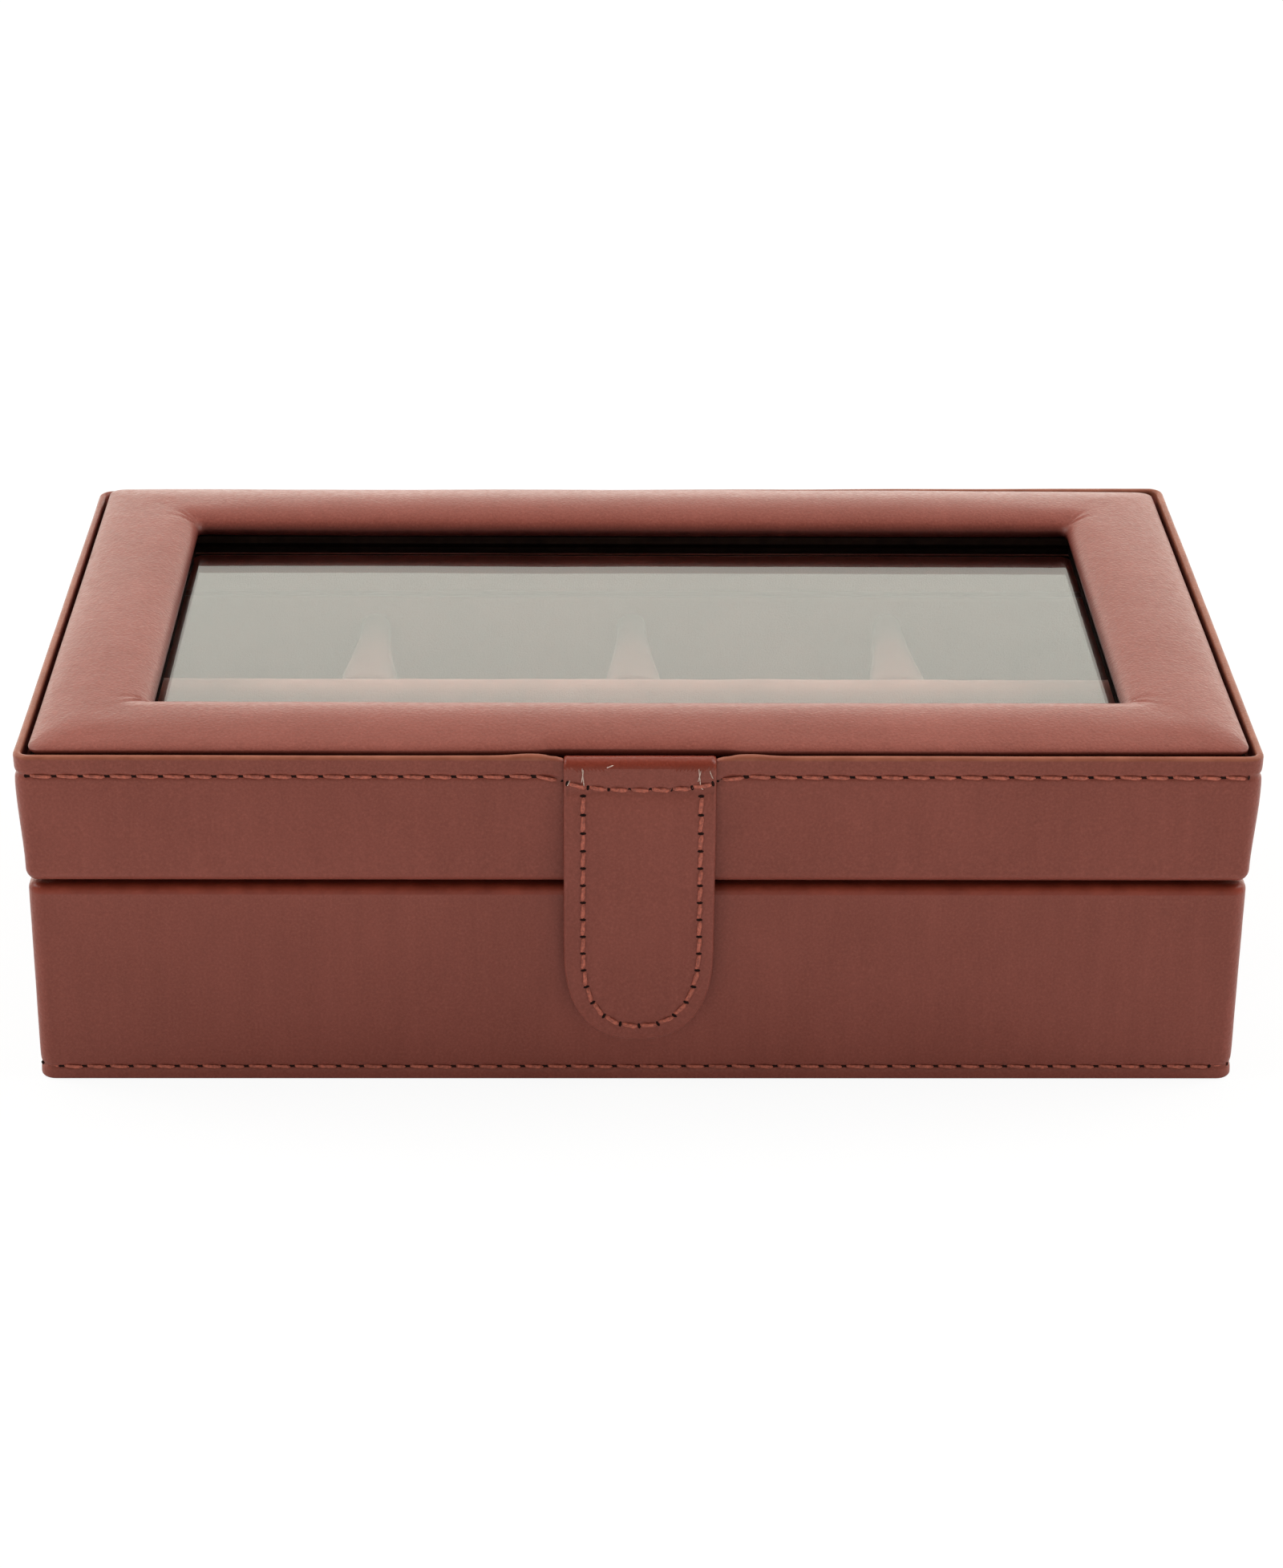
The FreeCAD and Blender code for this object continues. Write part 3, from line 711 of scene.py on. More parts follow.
def sew(name, spots, body, slant=0.12 * MM, r=0.30 * MM, hole_r=0.46 * MM, closed=True, slits=False):
    """Stitches and needle holes along spots of (point, outward). Returns both pieces."""
    shape = SLIT_HOLES if slits else ROUND_HOLES
    gap = 0.2 * MM if slits else 0.3 * MM
    strands = []
    pits = []
    for index, (point, outward) in enumerate(spots):
        ahead, out_ahead = spots[(index + 1) % len(spots)]
        if index == len(spots) - 1 and not closed:
            along = (point - spots[index - 1][0]).normalized()
            pits.append(pit(point, outward, along, hole_r, shape))
            break
        along = (ahead - point).normalized()
        out = (outward + out_ahead).normalized()
        across = out.cross(along).normalized()
        shaky = 1 + 0.5 * wander(point, 5 * MM, 4.0)
        start = point + along * gap + across * slant * shaky
        end = ahead - along * gap - across * slant * shaky
        strands.append(strand(start, end, out, r, 0.24 * MM, 0.06 * MM))
        pits.append(pit(point, outward, along, hole_r, shape))
    stitches = leather_piece(name + "_stitches", *tubes(strands), thread, body)
    # Painted shade: near-black lenses in place of the needle holes' shaded insides.
    holes = leather_piece(name + "_needle_holes", *tubes(pits), hole, body)
    return stitches, holes


def swell(point, waves, seed):
    """The leather's own unevenness: slow waves and smaller ones."""
    return 0.06 * MM * wander(point, waves, seed) + 0.025 * MM * wander(point, 5 * MM, seed + 6.0)


# ---- Tray leather ----

TRAY_STITCH = 3.5 * MM
BACK_LAP = 2.0 * MM             # how much wider the turned laps are at the back
tray_holes = walk(tray_half.x, tray_half.y, CORNER_R, TRAY_STITCH)


def stitch_groove(away):
    """Depth of the leather at a distance from a pulled line of stitches."""
    return 0.28 * MM * bell(away, 0.38 * MM) + 0.08 * MM * bell(away, 1.2 * MM)


def tray_shift(point):
    """How far the tray's leather stands out of its even shape."""
    fade = smooth_step(point.z / (2.5 * MM)) * smooth_step((seam_z - point.z) / (1.5 * MM))
    return swell(point, 24 * MM, 3.0) * fade - stitch_groove(point.z - TRAY_STITCH_Z)


def tray_section():
    """(inset from the tray's outline, height) round the leather's thickness."""
    foot_r = 0.5 * MM
    head_r = 1.1 * MM
    lap = 5.0 * MM
    wall = 3.9 * MM
    top = seam_z
    section = line((lap, 0), (foot_r, 0), 4)
    section += arc(foot_r, foot_r, foot_r, -90, -180, 9)
    section += line((0, foot_r + 0.15 * MM), (0, 4.2 * MM), 18)
    section += line((0, 4.2 * MM), (0, top - head_r), 26)
    section += arc(head_r, top - head_r, head_r, 180, 90, 6)
    under = top - LEATHER
    back = [(wall, top), (wall, under), (LEATHER, under), (LEATHER, LEATHER), (lap, LEATHER)]
    return section + route([(head_r + 0.5 * MM, top), *back], (4, 2, 3, 6, 3))


def shifted_loops(section, half, shift):
    """Loops of a section carried round the box. Its outer skin is moved in or out by a function, and
    its hidden lap is wider at the back."""
    plan = loop_plan(half.x, half.y)
    normals = loop_normals(plan)
    loops = []
    for inset, z in section:
        r = max(CORNER_R - inset, 0.15 * MM)
        loop = rounded_loop(half.x - inset, half.y - inset, r, z, plan)
        if inset < 0.85 * MM:
            loop = [point + normal * shift(point) for point, normal in zip(loop, normals)]
        elif inset > 3 * MM:
            limit = half.y - inset - BACK_LAP
            loop = [Vector((p.x, min(p.y, limit), p.z)) for p in loop]
        loops.append(loop)
    return loops


def tray_leather():
    """The tray's leather, slightly uneven and drawn in along its stitches."""
    loops = shifted_loops(tray_section(), tray_half, tray_shift)
    piece = leather_piece("tray_leather", *loft(loops, True), tray_skin, "base")
    cut_away(piece, hinge_cutters(False))
    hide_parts("base_leather_wrap")


def tray_stitches():
    """The line of stitches round the tray's foot."""
    spots = []
    for point, normal in tray_holes:
        place = Vector((point.x, point.y, TRAY_STITCH_Z))
        spots.append((place + normal * tray_shift(place), normal))
    sew("tray_foot", spots, "base")


# ---- Lid leather ----

LID_STITCH = 3.9 * MM
LID_FLARE = 0.7 * MM
TAB_HALF = (anchor_high.x - anchor_low.x) / 2
lid_stitch_z = rim_z - RIM_STITCH_DROP
lid_holes = walk(rim_half.x, rim_half.y, CORNER_R, LID_STITCH)


def is_front(point):
    """Whether a point of the rim lies on the lid's front."""
    return point.y < -rim_half.y + 2 * MM


def stitch_height(point):
    """Height of the lid's stitch line. It dips where it crosses the tab."""
    dip = 0.0
    if is_front(point):
        dip = TAB_CROSS_DROP * (1 - smooth_step((abs(point.x) - 9.5 * MM) / (3.5 * MM)))
    return lid_stitch_z - dip


def lid_inset(z):
    """The lid is fuller towards its rim."""
    return LID_FLARE * (1 - smooth_step((z - lid_z - 1.5 * MM) / (15 * MM)))


def lid_shift(point):
    """How far the lid's leather stands out of its even shape."""
    fade = smooth_step((point.z - lid_z) / (2.5 * MM))
    return swell(point, 20 * MM, 13.0) * fade - stitch_groove(point.z - stitch_height(point))


def rim_lift(point):
    """The rim is pressed down under the tab and puckers up a little on both sides of it."""
    waves = 0.05 * MM * wander(point, 18 * MM, 31.0)
    if point.y > -rim_half.y + 4 * MM:
        warp = 0.5 * MM * point.x / rim_half.x * smooth_step((point.y + rim_half.y) / (2 * rim_half.y))
        return warp + waves
    away = abs(point.x)
    pressed = -0.98 * MM * (1 - smooth_step((away - TAB_HALF + 0.4 * MM) / (0.9 * MM)))
    slope = -0.22 * MM * bell(away - TAB_HALF, 2.2 * MM)
    pucker = 0.30 * MM * bell(away - TAB_HALF - 5 * MM, 3.0 * MM)
    crease = 0.07 * MM * math.sin(away / (0.55 * MM)) * bell(away - TAB_HALF - 1.5 * MM, 2.2 * MM)
    return pressed + slope + pucker + crease + waves


def lid_section():
    """(inset from the rim's outline, height) round the leather's thickness."""
    foot_r = 2.0 * MM
    rim_r = 0.55 * MM
    lap = 4.15 * MM
    skin = 1.6 * MM
    low = lid_z
    base = lid_inset(low)
    section = line((lap, low), (base + foot_r, low), 4)
    section += arc(base + foot_r, low + foot_r, foot_r, -90, -180, 7)
    z = low + foot_r + 0.5 * MM
    below_stitches = lid_stitch_z - 2.2 * MM
    above_stitches = lid_stitch_z + 0.9 * MM
    for limit, step in ((below_stitches, 0.9), (above_stitches, 0.17), (rim_z - rim_r - 0.15 * MM, 0.3)):
        while z < limit:
            section.append((lid_inset(z), z))
            z += step * MM
    section += arc(rim_r, rim_z - rim_r, rim_r, 180, 90, 6)
    section += arc(RIM_T - rim_r, rim_z - rim_r, rim_r, 90, 0, 6)
    back = [(RIM_T, top_board_z), (skin, top_board_z), (skin, low + LEATHER), (lap, low + LEATHER)]
    return section + route([(RIM_T, rim_z - rim_r - 0.3 * MM), *back], (5, 1, 6, 3))


def lid_leather():
    """The leather round the lid with its raised turned rim, as one skin."""
    loops = shifted_loops(lid_section(), rim_half, lid_shift)
    low = lid_stitch_z - 1.2 * MM
    for loop in loops:
        for point in loop:
            if point.z > low and point.z > top_board_z + 0.05 * MM:
                share = smooth_step((point.z - low) / (rim_z - low))
                point.z += rim_lift(point) * share
    piece = leather_piece("lid_leather", *loft(loops, True), lid_skin, "lid")
    cut_away(piece, hinge_cutters(True))
    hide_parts("lid_side_wrap", "lid_rim_welt")


def lid_stitches():
    """The line of stitches round the lid, under its rim. Those across the tab belong to the tab."""
    spots = []
    for point, normal in lid_holes:
        place = Vector((point.x, point.y, 0))
        place.z = stitch_height(place)
        place.z += rim_lift(place) * 0.35 if abs(place.x) > TAB_HALF else 0
        spots.append((place + normal * lid_shift(place), normal))
    run = [spot for spot in spots if not (is_front(spot[0]) and abs(spot[0].x) < TAB_HALF)]
    sew("lid_rim", run, "lid", closed=False)


# ---- Padding round the window ----

PAD_BORDER = 16.4 * MM          # width of the padded frame
PAD_BULGE = 0.2 * MM            # how far its outer edge bulges out
PAD_BULGE_H = 3.5 * MM          # and how high up
PAD_CROWN_H = 5.2 * MM
PAD_CREST_AT = 10.2 * MM        # the crown's distance in from the outer edge
PAD_LIP_H = 2.6 * MM            # height of the edge at the window
PAD_SHADE_H = 1.55 * MM         # below this the padding's window edge gets painted shade


def arch(start, end, steps, power=2.3, lift=0.75):
    """Points of a soft arch from a steep foot (inset, height) up to its flat crown."""
    points = []
    for a in angles(0, 90, steps):
        away = math.cos(a) ** (2 / power)
        up = math.sin(a) ** (2 * lift)
        points.append((end[0] + (start[0] - end[0]) * away, start[1] + (end[1] - start[1]) * up))
    return points


def pad_profile():
    """(inset, height above the board, corner radius) from the groove over the crown to the window,
    and back under the padding. tuck and under are in mm."""
    tuck = [(1.0, 0.0), (0.9, 0.6), (0.7, 1.5), (0.42, 2.3), (0.12, 2.85), (-0.1, 3.2)]
    rows = [(inset * MM, rise * MM, 1.6 * MM) for inset, rise in tuck]
    crown = (PAD_CREST_AT, PAD_CROWN_H)
    for inset, rise in arch((-PAD_BULGE, PAD_BULGE_H), crown, 15):
        share = max(inset, 0) / PAD_BORDER
        rows.append((inset, rise, 1.9 * MM + 1.6 * MM * math.sin(math.pi * min(share * 1.15, 1.0))))
    for inset, rise in arch((PAD_BORDER, PAD_LIP_H), crown, 17, 2.9, 0.68)[-2::-1]:
        share = inset / PAD_BORDER
        rows.append((inset, rise, 1.5 * MM + 2.0 * MM * (1 - share)))
    under = [(0.03, 2.15), (0.2, 1.75), (0.55, 1.5), (1.1, 1.36), (1.9, 1.3), (1.9, 0.0)]
    rows += [(PAD_BORDER - inset * MM, rise * MM, 1.5 * MM) for inset, rise in under]
    rows += [(PAD_BORDER * share, 0.0, 2 * MM) for share in (0.7, 0.45, 0.2)]
    return rows


PUFF_FRAMES = 16
PUFF_SETTINGS = {
    "vertex_group_mass": "held",
    "use_pressure": True,
    "uniform_pressure_force": 4.0,
    "quality": 5,
    "tension_stiffness": 25,
    "compression_stiffness": 25,
    "shear_stiffness": 10,
    "bending_stiffness": 1.5,
    "mass": 0.3,
}


def puff(piece, cap):
    """Swells a closed padded shape with a cloth simulation. No point moves further than the cap."""
    before = [vert.co.copy() for vert in piece.data.vertices]
    group = piece.vertex_groups.new(name="held")
    held = [v.index for v in piece.data.vertices if v.co.z < pad_low.z + 0.6 * MM]
    group.add(held, 1.0, "REPLACE")
    modifier = piece.modifiers.new("cloth", "CLOTH")
    for key, value in PUFF_SETTINGS.items():
        setattr(modifier.settings, key, value)
    modifier.settings.effector_weights.gravity = 0
    modifier.point_cache.frame_start = 1
    modifier.point_cache.frame_end = PUFF_FRAMES
    for number in range(1, PUFF_FRAMES + 1):
        bpy.context.scene.frame_set(number)
    shown = piece.evaluated_get(bpy.context.evaluated_depsgraph_get())
    after = [vert.co.copy() for vert in shown.data.vertices]
    piece.modifiers.clear()
    piece.vertex_groups.clear()
    bpy.context.scene.frame_set(1)
    for vert, old, new in zip(piece.data.vertices, before, after):
        move = new - old
        if move.length > cap:
            move *= cap / move.length
        vert.co = old + move


def corner_creases(point):
    """Depth of the small folds that the leather makes at the window's corners. Each fold has a
    direction in degrees, and a depth and a reach in mm."""
    window = Vector((pad_high.x - PAD_BORDER, pad_high.y - PAD_BORDER))
    out = Vector((abs(point.x) - window.x, abs(point.y) - window.y))
    away = out.length
    if away > 9 * MM:
        return 0.0
    angle = math.degrees(math.atan2(out.y, out.x))
    depth = 0.0
    for lie, size, reach in ((38, 0.30, 2.6), (62, 0.22, 2.0), (12, 0.24, 3.0), (84, 0.16, 1.8)):
        lie += 7 * (1 if point.x > 0 else -1) * (1 if point.y > 0 else -0.6)
        depth += size * MM * bell(angle - lie, 7) * bell(away - 1.2 * MM, reach * MM)
    ridge = 0.12 * MM * bell(angle - 25, 8) * bell(away - 1.5 * MM, 2.4 * MM)
    return depth - ridge


def under_window_edge(face):
    """Whether a face of the padding lies low under its edge at the window, where it gets painted shade."""
    middle = face.center
    past = 2.6 * MM - PAD_BORDER
    inside = abs(middle.x) < pad_high.x + past and abs(middle.y) < pad_high.y + past
    return inside and middle.z < pad_low.z + PAD_SHADE_H


def padding():
    """The leather frame round the window, drawn over foam, its corners rounded and gathered."""
    plan = loop_plan(pad_high.x, pad_high.y, 10)
    loops = []
    for inset, rise, r in pad_profile():
        loops.append(rounded_loop(pad_high.x - inset, pad_high.y - inset, r, pad_low.z + rise, plan))
    piece = leather_piece("window_padding", *loft(loops, True), pad_skin, "lid")
    puff(piece, 0.5 * MM)
    # Painted shade: the faces low under the window's edge get the near-black material.
    second_material(piece, turned_under, under_window_edge)
    for vert in piece.data.vertices:
        point = vert.co
        beside_tab = smooth_step((abs(point.x) - TAB_HALF - 1 * MM) / (4 * MM))
        near_rim = smooth_step((-point.y - pad_high.y + 3 * MM) / (3 * MM))
        upper = smooth_step((point.z - pad_low.z - 1.5 * MM) / (1.5 * MM))
        point.y -= 0.6 * MM * beside_tab * near_rim * upper
        if point.z < pad_low.z + 0.4 * MM:
            continue
        waves = 0.10 * MM * wander(point, 22 * MM, 41.0) + 0.035 * MM * wander(point, 7 * MM, 47.0)
        point.z += waves - corner_creases(point)
    piece.data.update()
    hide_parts("pad_cover", "pad_foam")


# ---- Tab ----

TAB_PLY = 1.0 * MM
TAB_TIP = 15.6 * MM             # length of the tab's rounded end
TAB_ROUND = 2.45                # shape of that end: 2 is an ellipse, more is fuller
TAB_EDGE_R = 0.42 * MM
TAB_SETTLE = 8.0 * MM           # below the cross stitches, where the tab comes to hang clear
TAB_CROSS_DROP = 1.6 * MM       # cross stitches below the lid's own stitch line


def tab_path():
    """(y, z) down the tab's face: out of the groove, over the rim, down to its tip."""
    front = anchor_low.y
    inner = anchor_high.y
    top = anchor_high.z
    bend = 1.5 * MM
    hang_y = ply_low.y
    tip_z = ply_low.z
    tip_y = front_of_tip()
    rows = [(inner, top_board_z + 0.3 * MM), (inner, top - bend - 0.4 * MM)]
    rows += arc(inner - bend, top - bend, bend, 0, 90, 8)
    rows += arc(front + bend, top - bend, bend, 90, 180, 8)
    level = lid_stitch_z - TAB_CROSS_DROP
    rows += [(front, top - bend - 0.6 * MM), (front + 0.03 * MM, lid_stitch_z - 0.5 * MM)]
    rows += [(front + 0.10 * MM, level)]
    for step in range(1, 13):
        share = step / 12
        y = front + (hang_y - front) * (1 - (1 - share) ** 1.8) * 0.92 + 0.10 * MM * (1 - share) ** 4
        rows.append((y, level - TAB_SETTLE * share))
    low = level - TAB_SETTLE
    hang_y = rows[-1][0]
    for step in range(1, 41):
        share = step / 40
        rows.append((hang_y + (tip_y - hang_y) * share, low + (tip_z - low) * share))
    return rows


def front_of_tip():
    """Depth of the tab's face at its tip, where it leans in to the tray."""
    node = frame["nodes"]["tab_outer_ply"]
    points = [node.matrix_world @ vert.co for vert in node.data.vertices]
    return min(points, key=lambda point: (round(point.z, 4), point.y)).y


path_points = [Vector((0, y, z)) for y, z in tab_path()]
path_lengths = [0.0]
for before, after in zip(path_points, path_points[1:]):
    path_lengths.append(path_lengths[-1] + (after - before).length)
tab_length = path_lengths[-1]
shoulder = tab_length - TAB_TIP


def find_stretch(lengths, goal):
    """(stretch, share of it) at a distance along a line, given the distances of its points."""
    index = 0
    while index < len(lengths) - 2 and lengths[index + 1] < goal:
        index += 1
    return index, (goal - lengths[index]) / (lengths[index + 1] - lengths[index])


def path_direction(index):
    """Direction of one stretch of the path. Past the ends, the last stretch counts."""
    index = min(max(index, 0), len(path_points) - 2)
    return (path_points[index + 1] - path_points[index]).normalized()


def path_at(s):
    """(point, outward direction) on the tab's face at a distance down it."""
    index, share = find_stretch(path_lengths, min(max(s, 0.0), tab_length))
    point = path_points[index].lerp(path_points[index + 1], share)
    next_stretch = index + 1 if share > 0.5 else index - 1
    direction = path_direction(index) + path_direction(next_stretch) * abs(share - 0.5)
    direction.normalize()
    return point, Vector((0, direction.z, -direction.y))


def s_of_height(z):
    """Distance down the tab to a height on its front."""
    for index in range(len(path_points) - 1, 0, -1):
        upper = path_points[index - 1]
        lower = path_points[index]
        if lower.z <= z <= upper.z and upper.y < anchor_low.y + 1.2 * MM:
            share = (upper.z - z) / (upper.z - lower.z)
            return path_lengths[index - 1] + share * (path_lengths[index] - path_lengths[index - 1])
    return 0.0


stitch_s = s_of_height(lid_stitch_z - TAB_CROSS_DROP)


def tab_thickness(s):
    """One ply over the rim, two below the stitches."""
    return TAB_PLY * (0.97 + 1.0 * smooth_step((s - stitch_s - 0.3 * MM) / (6.0 * MM)))


def full(value):
    """Turns a sine or cosine of an ellipse into one of a fuller curve."""
    return math.copysign(abs(value) ** (2 / TAB_ROUND), value)


def tab_outline(start, halves, tip, side_count, tip_count):
    """(distance down, x) down the left side, round the tip and up the right side. halves are the
    distances of the two sides from the middle."""
    left, right = halves
    points = [(start + (shoulder - start) * step / side_count, -left) for step in range(side_count)]
    for a in angles(0, 180, tip_count):
        half = left + (right - left) * math.degrees(a) / 180
        points.append((shoulder + tip * full(math.sin(a)), -half * full(math.cos(a))))
    for step in range(1, side_count + 1):
        points.append((shoulder + (start - shoulder) * step / side_count, right))
    return points


TAB_SIDE_COUNT = 60
TAB_TIP_COUNT = 36
TAB_TOP_COUNT = 10


def tab_loop(inset):
    """(distance down, x) round the tab's outline, inset from its edge."""
    half = max(TAB_HALF - inset, 0.02 * MM)
    tip = max(TAB_TIP - inset, 0.02 * MM)
    start = min(inset, TAB_HALF)
    points = tab_outline(start, (half, half), tip, TAB_SIDE_COUNT, TAB_TIP_COUNT)
    for step in range(1, TAB_TOP_COUNT):
        points.append((start, half - 2 * half * step / TAB_TOP_COUNT))
    return points


TAB_STITCH = 2.9 * MM
TAB_SEAM_LEFT = 2.85 * MM       # from the tab's edges in to its seam
TAB_SEAM_RIGHT = 2.2 * MM
TAB_SEAM_TIP = 2.5 * MM


def tab_seam():
    """(distance down, x) of the needle holes down one side, round the tip and up the other."""
    halves = (TAB_HALF - TAB_SEAM_LEFT, TAB_HALF - TAB_SEAM_RIGHT)
    dense = tab_outline(stitch_s + 0.9 * MM, halves, TAB_TIP - TAB_SEAM_TIP, 120, 90)
    lengths = [0.0]
    for a, b in zip(dense, dense[1:]):
        lengths.append(lengths[-1] + math.hypot(b[0] - a[0], b[1] - a[1]))
    count = round(lengths[-1] / TAB_STITCH)
    points = []
    for step in range(count + 1):
        index, share = find_stretch(lengths, lengths[-1] * step / count)
        a = dense[index]
        b = dense[index + 1]
        points.append((a[0] + (b[0] - a[0]) * share, a[1] + (b[1] - a[1]) * share))
    return points


tab_holes = tab_seam()
cross_count = 8
cross_holes = []
for step in range(cross_count):
    across = -1 + 2 * step / (cross_count - 1)
    rise = 1.1 * MM * abs(across) ** 3
    cross_holes.append((stitch_s - rise, (TAB_HALF - 0.5 * MM) * across))


def tab_face_drop(s, x):
    """How far the tab's face is drawn in at a place: seams, stitches, and slow waves."""
    drop = -0.05 * MM * noise.noise(Vector((s, x, 0)) / (9 * MM))
    drop += 0.10 * MM * bell(s - stitch_s, 0.7 * MM)
    gaps = []
    for hs, hx in tab_holes + cross_holes:
        if abs(hs - s) < 2 * MM and abs(hx - x) < 2 * MM:
            gaps.append(math.hypot(hs - s, hx - x))
    if gaps:
        drop += 0.06 * MM * bell(min(gaps), 0.6 * MM)
    return drop


def tab_place(s, x, depth):
    """A point in the tab: a distance down it, across it, and in from its face."""
    point, outward = path_at(s)
    return Vector((x, 0, 0)) + point - outward * depth


def tab_rows():
    """(inset, share of the thickness, depth beyond it) of each loop, from the middle of the tab's
    face over its edge to the middle of its back."""
    insets = []
    inset = TAB_HALF - 0.3 * MM
    while inset > TAB_EDGE_R:
        insets.append(inset)
        inset -= 0.55 * MM
    bend = [(TAB_EDGE_R * (1 - math.sin(a)), TAB_EDGE_R * (1 - math.cos(a))) for a in angles(0, 90, 4)]
    edge = ((0.0, 0.35), (0.02, 0.46), (0.14, 0.5), (0.02, 0.54), (0.0, 0.65))
    rows = [(inset, 0, None) for inset in insets]
    rows += [(inset, 0, depth) for inset, depth in bend]
    rows += [(groove * MM, share, 0) for groove, share in edge]
    rows += [(inset, 1, -depth) for depth, inset in bend]
    return rows + [(inset, 1, 0) for inset in reversed(insets)]


def tab_strip():
    """The tab as one strip of leather, doubled below the stitches that hold it to the lid."""
    loops = []
    for inset, share, depth in tab_rows():
        loop = []
        for s, x in tab_loop(inset):
            beyond = tab_face_drop(s, x) if depth is None else depth
            loop.append(tab_place(s, x, tab_thickness(s) * share + beyond))
        loops.append(loop)
    verts, faces = loft(loops, False)
    count = len(loops[0])
    faces += strip_fill(0, True) + strip_fill((len(loops) - 1) * count, False)
    piece = leather_piece("tab_leather", verts, faces, leather, "tab")
    # Painted shade: the tab's faces over the rim get the darker roll leather.
    second_material(piece, rolled_edge, lambda face: face.center.z > rim_z - 1.5 * MM)
    return piece


def strip_fill(base, flip):
    """Closes the narrow slot in the middle of a face: quads between its two long sides."""
    tip_at = TAB_SIDE_COUNT + TAB_TIP_COUNT // 2
    last = TAB_SIDE_COUNT * 2 + TAB_TIP_COUNT
    left = list(range(base, base + tip_at + 1))
    right = list(range(base + last, base + tip_at - 1, -1))
    faces = []
    for a, b, c, d in zip(left, left[1:], right[1:], right):
        quad = (a, b, c, d) if b != c else (a, b, d)
        faces.append(quad[::-1] if flip else quad)
    tops = range(base + last + TAB_TOP_COUNT - 1, base + last, -1)
    cap = (left[0], *tops, right[0])
    return faces + [cap if flip else cap[::-1]]


def thread_ends():
    """Pale frayed ends of the seam, lying over the tab's roll. Each runs from one place to another,
    given across the tab and down from its cross stitches, in mm."""
    lies = [
        (-8.5, -3.5, -8.2, -0.5), (-8.3, -3.3, -8.6, -1.2), (8.6, -3.5, 8.9, -0.6),
        (8.9, -3.2, 8.5, -1.4), (-4.9, -3.6, -3.9, -4.0), (10.2, -3.2, 10.7, -1.9),
        (-10.3, -1.6, -10.7, -0.7), (8.7, -0.9, 9.3, -0.1),
    ]
    strands = []
    for x0, s0, x1, s1 in lies:
        start = tab_place(stitch_s + s0 * MM, x0 * MM, 0)
        end = tab_place(stitch_s + s1 * MM, x1 * MM, 0)
        outward = path_at(stitch_s + (s0 + s1) / 2 * MM)[1]
        strands.append(strand(start, end, outward, 0.07 * MM, 0.25 * MM, 0.02 * MM))
    return leather_piece("tab_thread_ends", *tubes(strands), frayed, "tab")


def tab():
    """The tab with its stitches. It bends between lid and tab about its fold."""
    start = Vector((0, fold_axis.y, fold_axis.z + 1.9 * MM))
    end = Vector((0, fold_axis.y, fold_axis.z - 2.6 * MM))
    strip = tab_strip()
    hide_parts("tab_anchor", "tab_outer_ply", "tab_inner_ply")
    pieces = [strip]
    for name, holes in (("tab_edge", tab_holes), ("tab_cross", cross_holes)):
        spots = []
        for s, x in holes:
            spots.append((tab_place(s, x, tab_face_drop(s, x)), path_at(s)[1]))
        pieces += sew(name, spots, "tab", 0.13 * MM, 0.33 * MM, 0.42 * MM, closed=False, slits=True)
    pieces.append(thread_ends())
    for piece in pieces:
        piece.parent = None
        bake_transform(piece, "lid", "tab", start, end)


# ---- Velour linings and dividers ----

LONG_DIVIDERS = ("divider_long_front", "divider_long_rear")
CROSS_DIVIDERS = ("divider_cross_left", "divider_cross_centre", "divider_cross_right")
CROSS_DROP = 0.8 * MM           # cross dividers below the long ones
CROSSING_DROP = 2.6 * MM        # and lower again where they pass under a long one
CROSSING_REACH = (6.0 * MM, 1.0 * MM)       # before it and behind it


def slot_plugs(node):
    """Lengths of a long divider's section, over the slots in which the cross dividers sit."""
    low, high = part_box(node)
    y = (low.y + high.y) / 2
    half = (high.y - low.y) / 2
    foot = (low.z + high.z) / 2 - 1.5 * MM
    section = [(y - half, foot), *arc(y, high.z - half, half, 180, 0, 16), (y + half, foot)]
    shapes = []
    for cross in CROSS_DIVIDERS:
        start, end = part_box(cross)
        shapes.append(bar(section, (end.x + 1.5 * MM, start.x - 1.5 * MM)))
    return shapes


def soft_copy(node, material, nap, voxel=0.8 * MM, shrink=0.12 * MM, plugs=()):
    """A soft version of a CAD solid, in velour: its edges rounded off and its faces slightly uneven.
    Closed plugs are added to it first, and melt into it."""
    source = frame["nodes"][node]
    mesh = source.data.copy()
    mesh.transform(source.matrix_world)
    if plugs:
        points = [vert.co.copy() for vert in mesh.vertices]
        skin = [tuple(face.vertices) for face in mesh.polygons]
        mesh = new_mesh(node + "_plugged", *tubes(plugs, points, skin))
    mesh.materials.clear()
    mesh.materials.append(material)
    piece = in_scene("soft_" + node, mesh)
    remesh = piece.modifiers.new("remesh", "REMESH")
    remesh.mode = "VOXEL"
    remesh.voxel_size = voxel
    remesh.use_smooth_shade = True
    smooth = piece.modifiers.new("smooth", "SMOOTH")
    smooth.iterations = 3
    smooth.factor = 0.5
    apply_modifiers(piece)
    normals = [vert.normal.copy() for vert in piece.data.vertices]
    for vert, normal in zip(piece.data.vertices, normals):
        wave = wander(vert.co, 9 * MM, 5.0) * 0.6 + wander(vert.co, 3 * MM, 8.0) * 0.4
        vert.co += normal * (nap * wave - shrink * 0.3)
    shade_smooth(piece.data)
    piece.data.update()
    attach(piece, body_of(source)[0])
    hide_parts(node)
    return piece


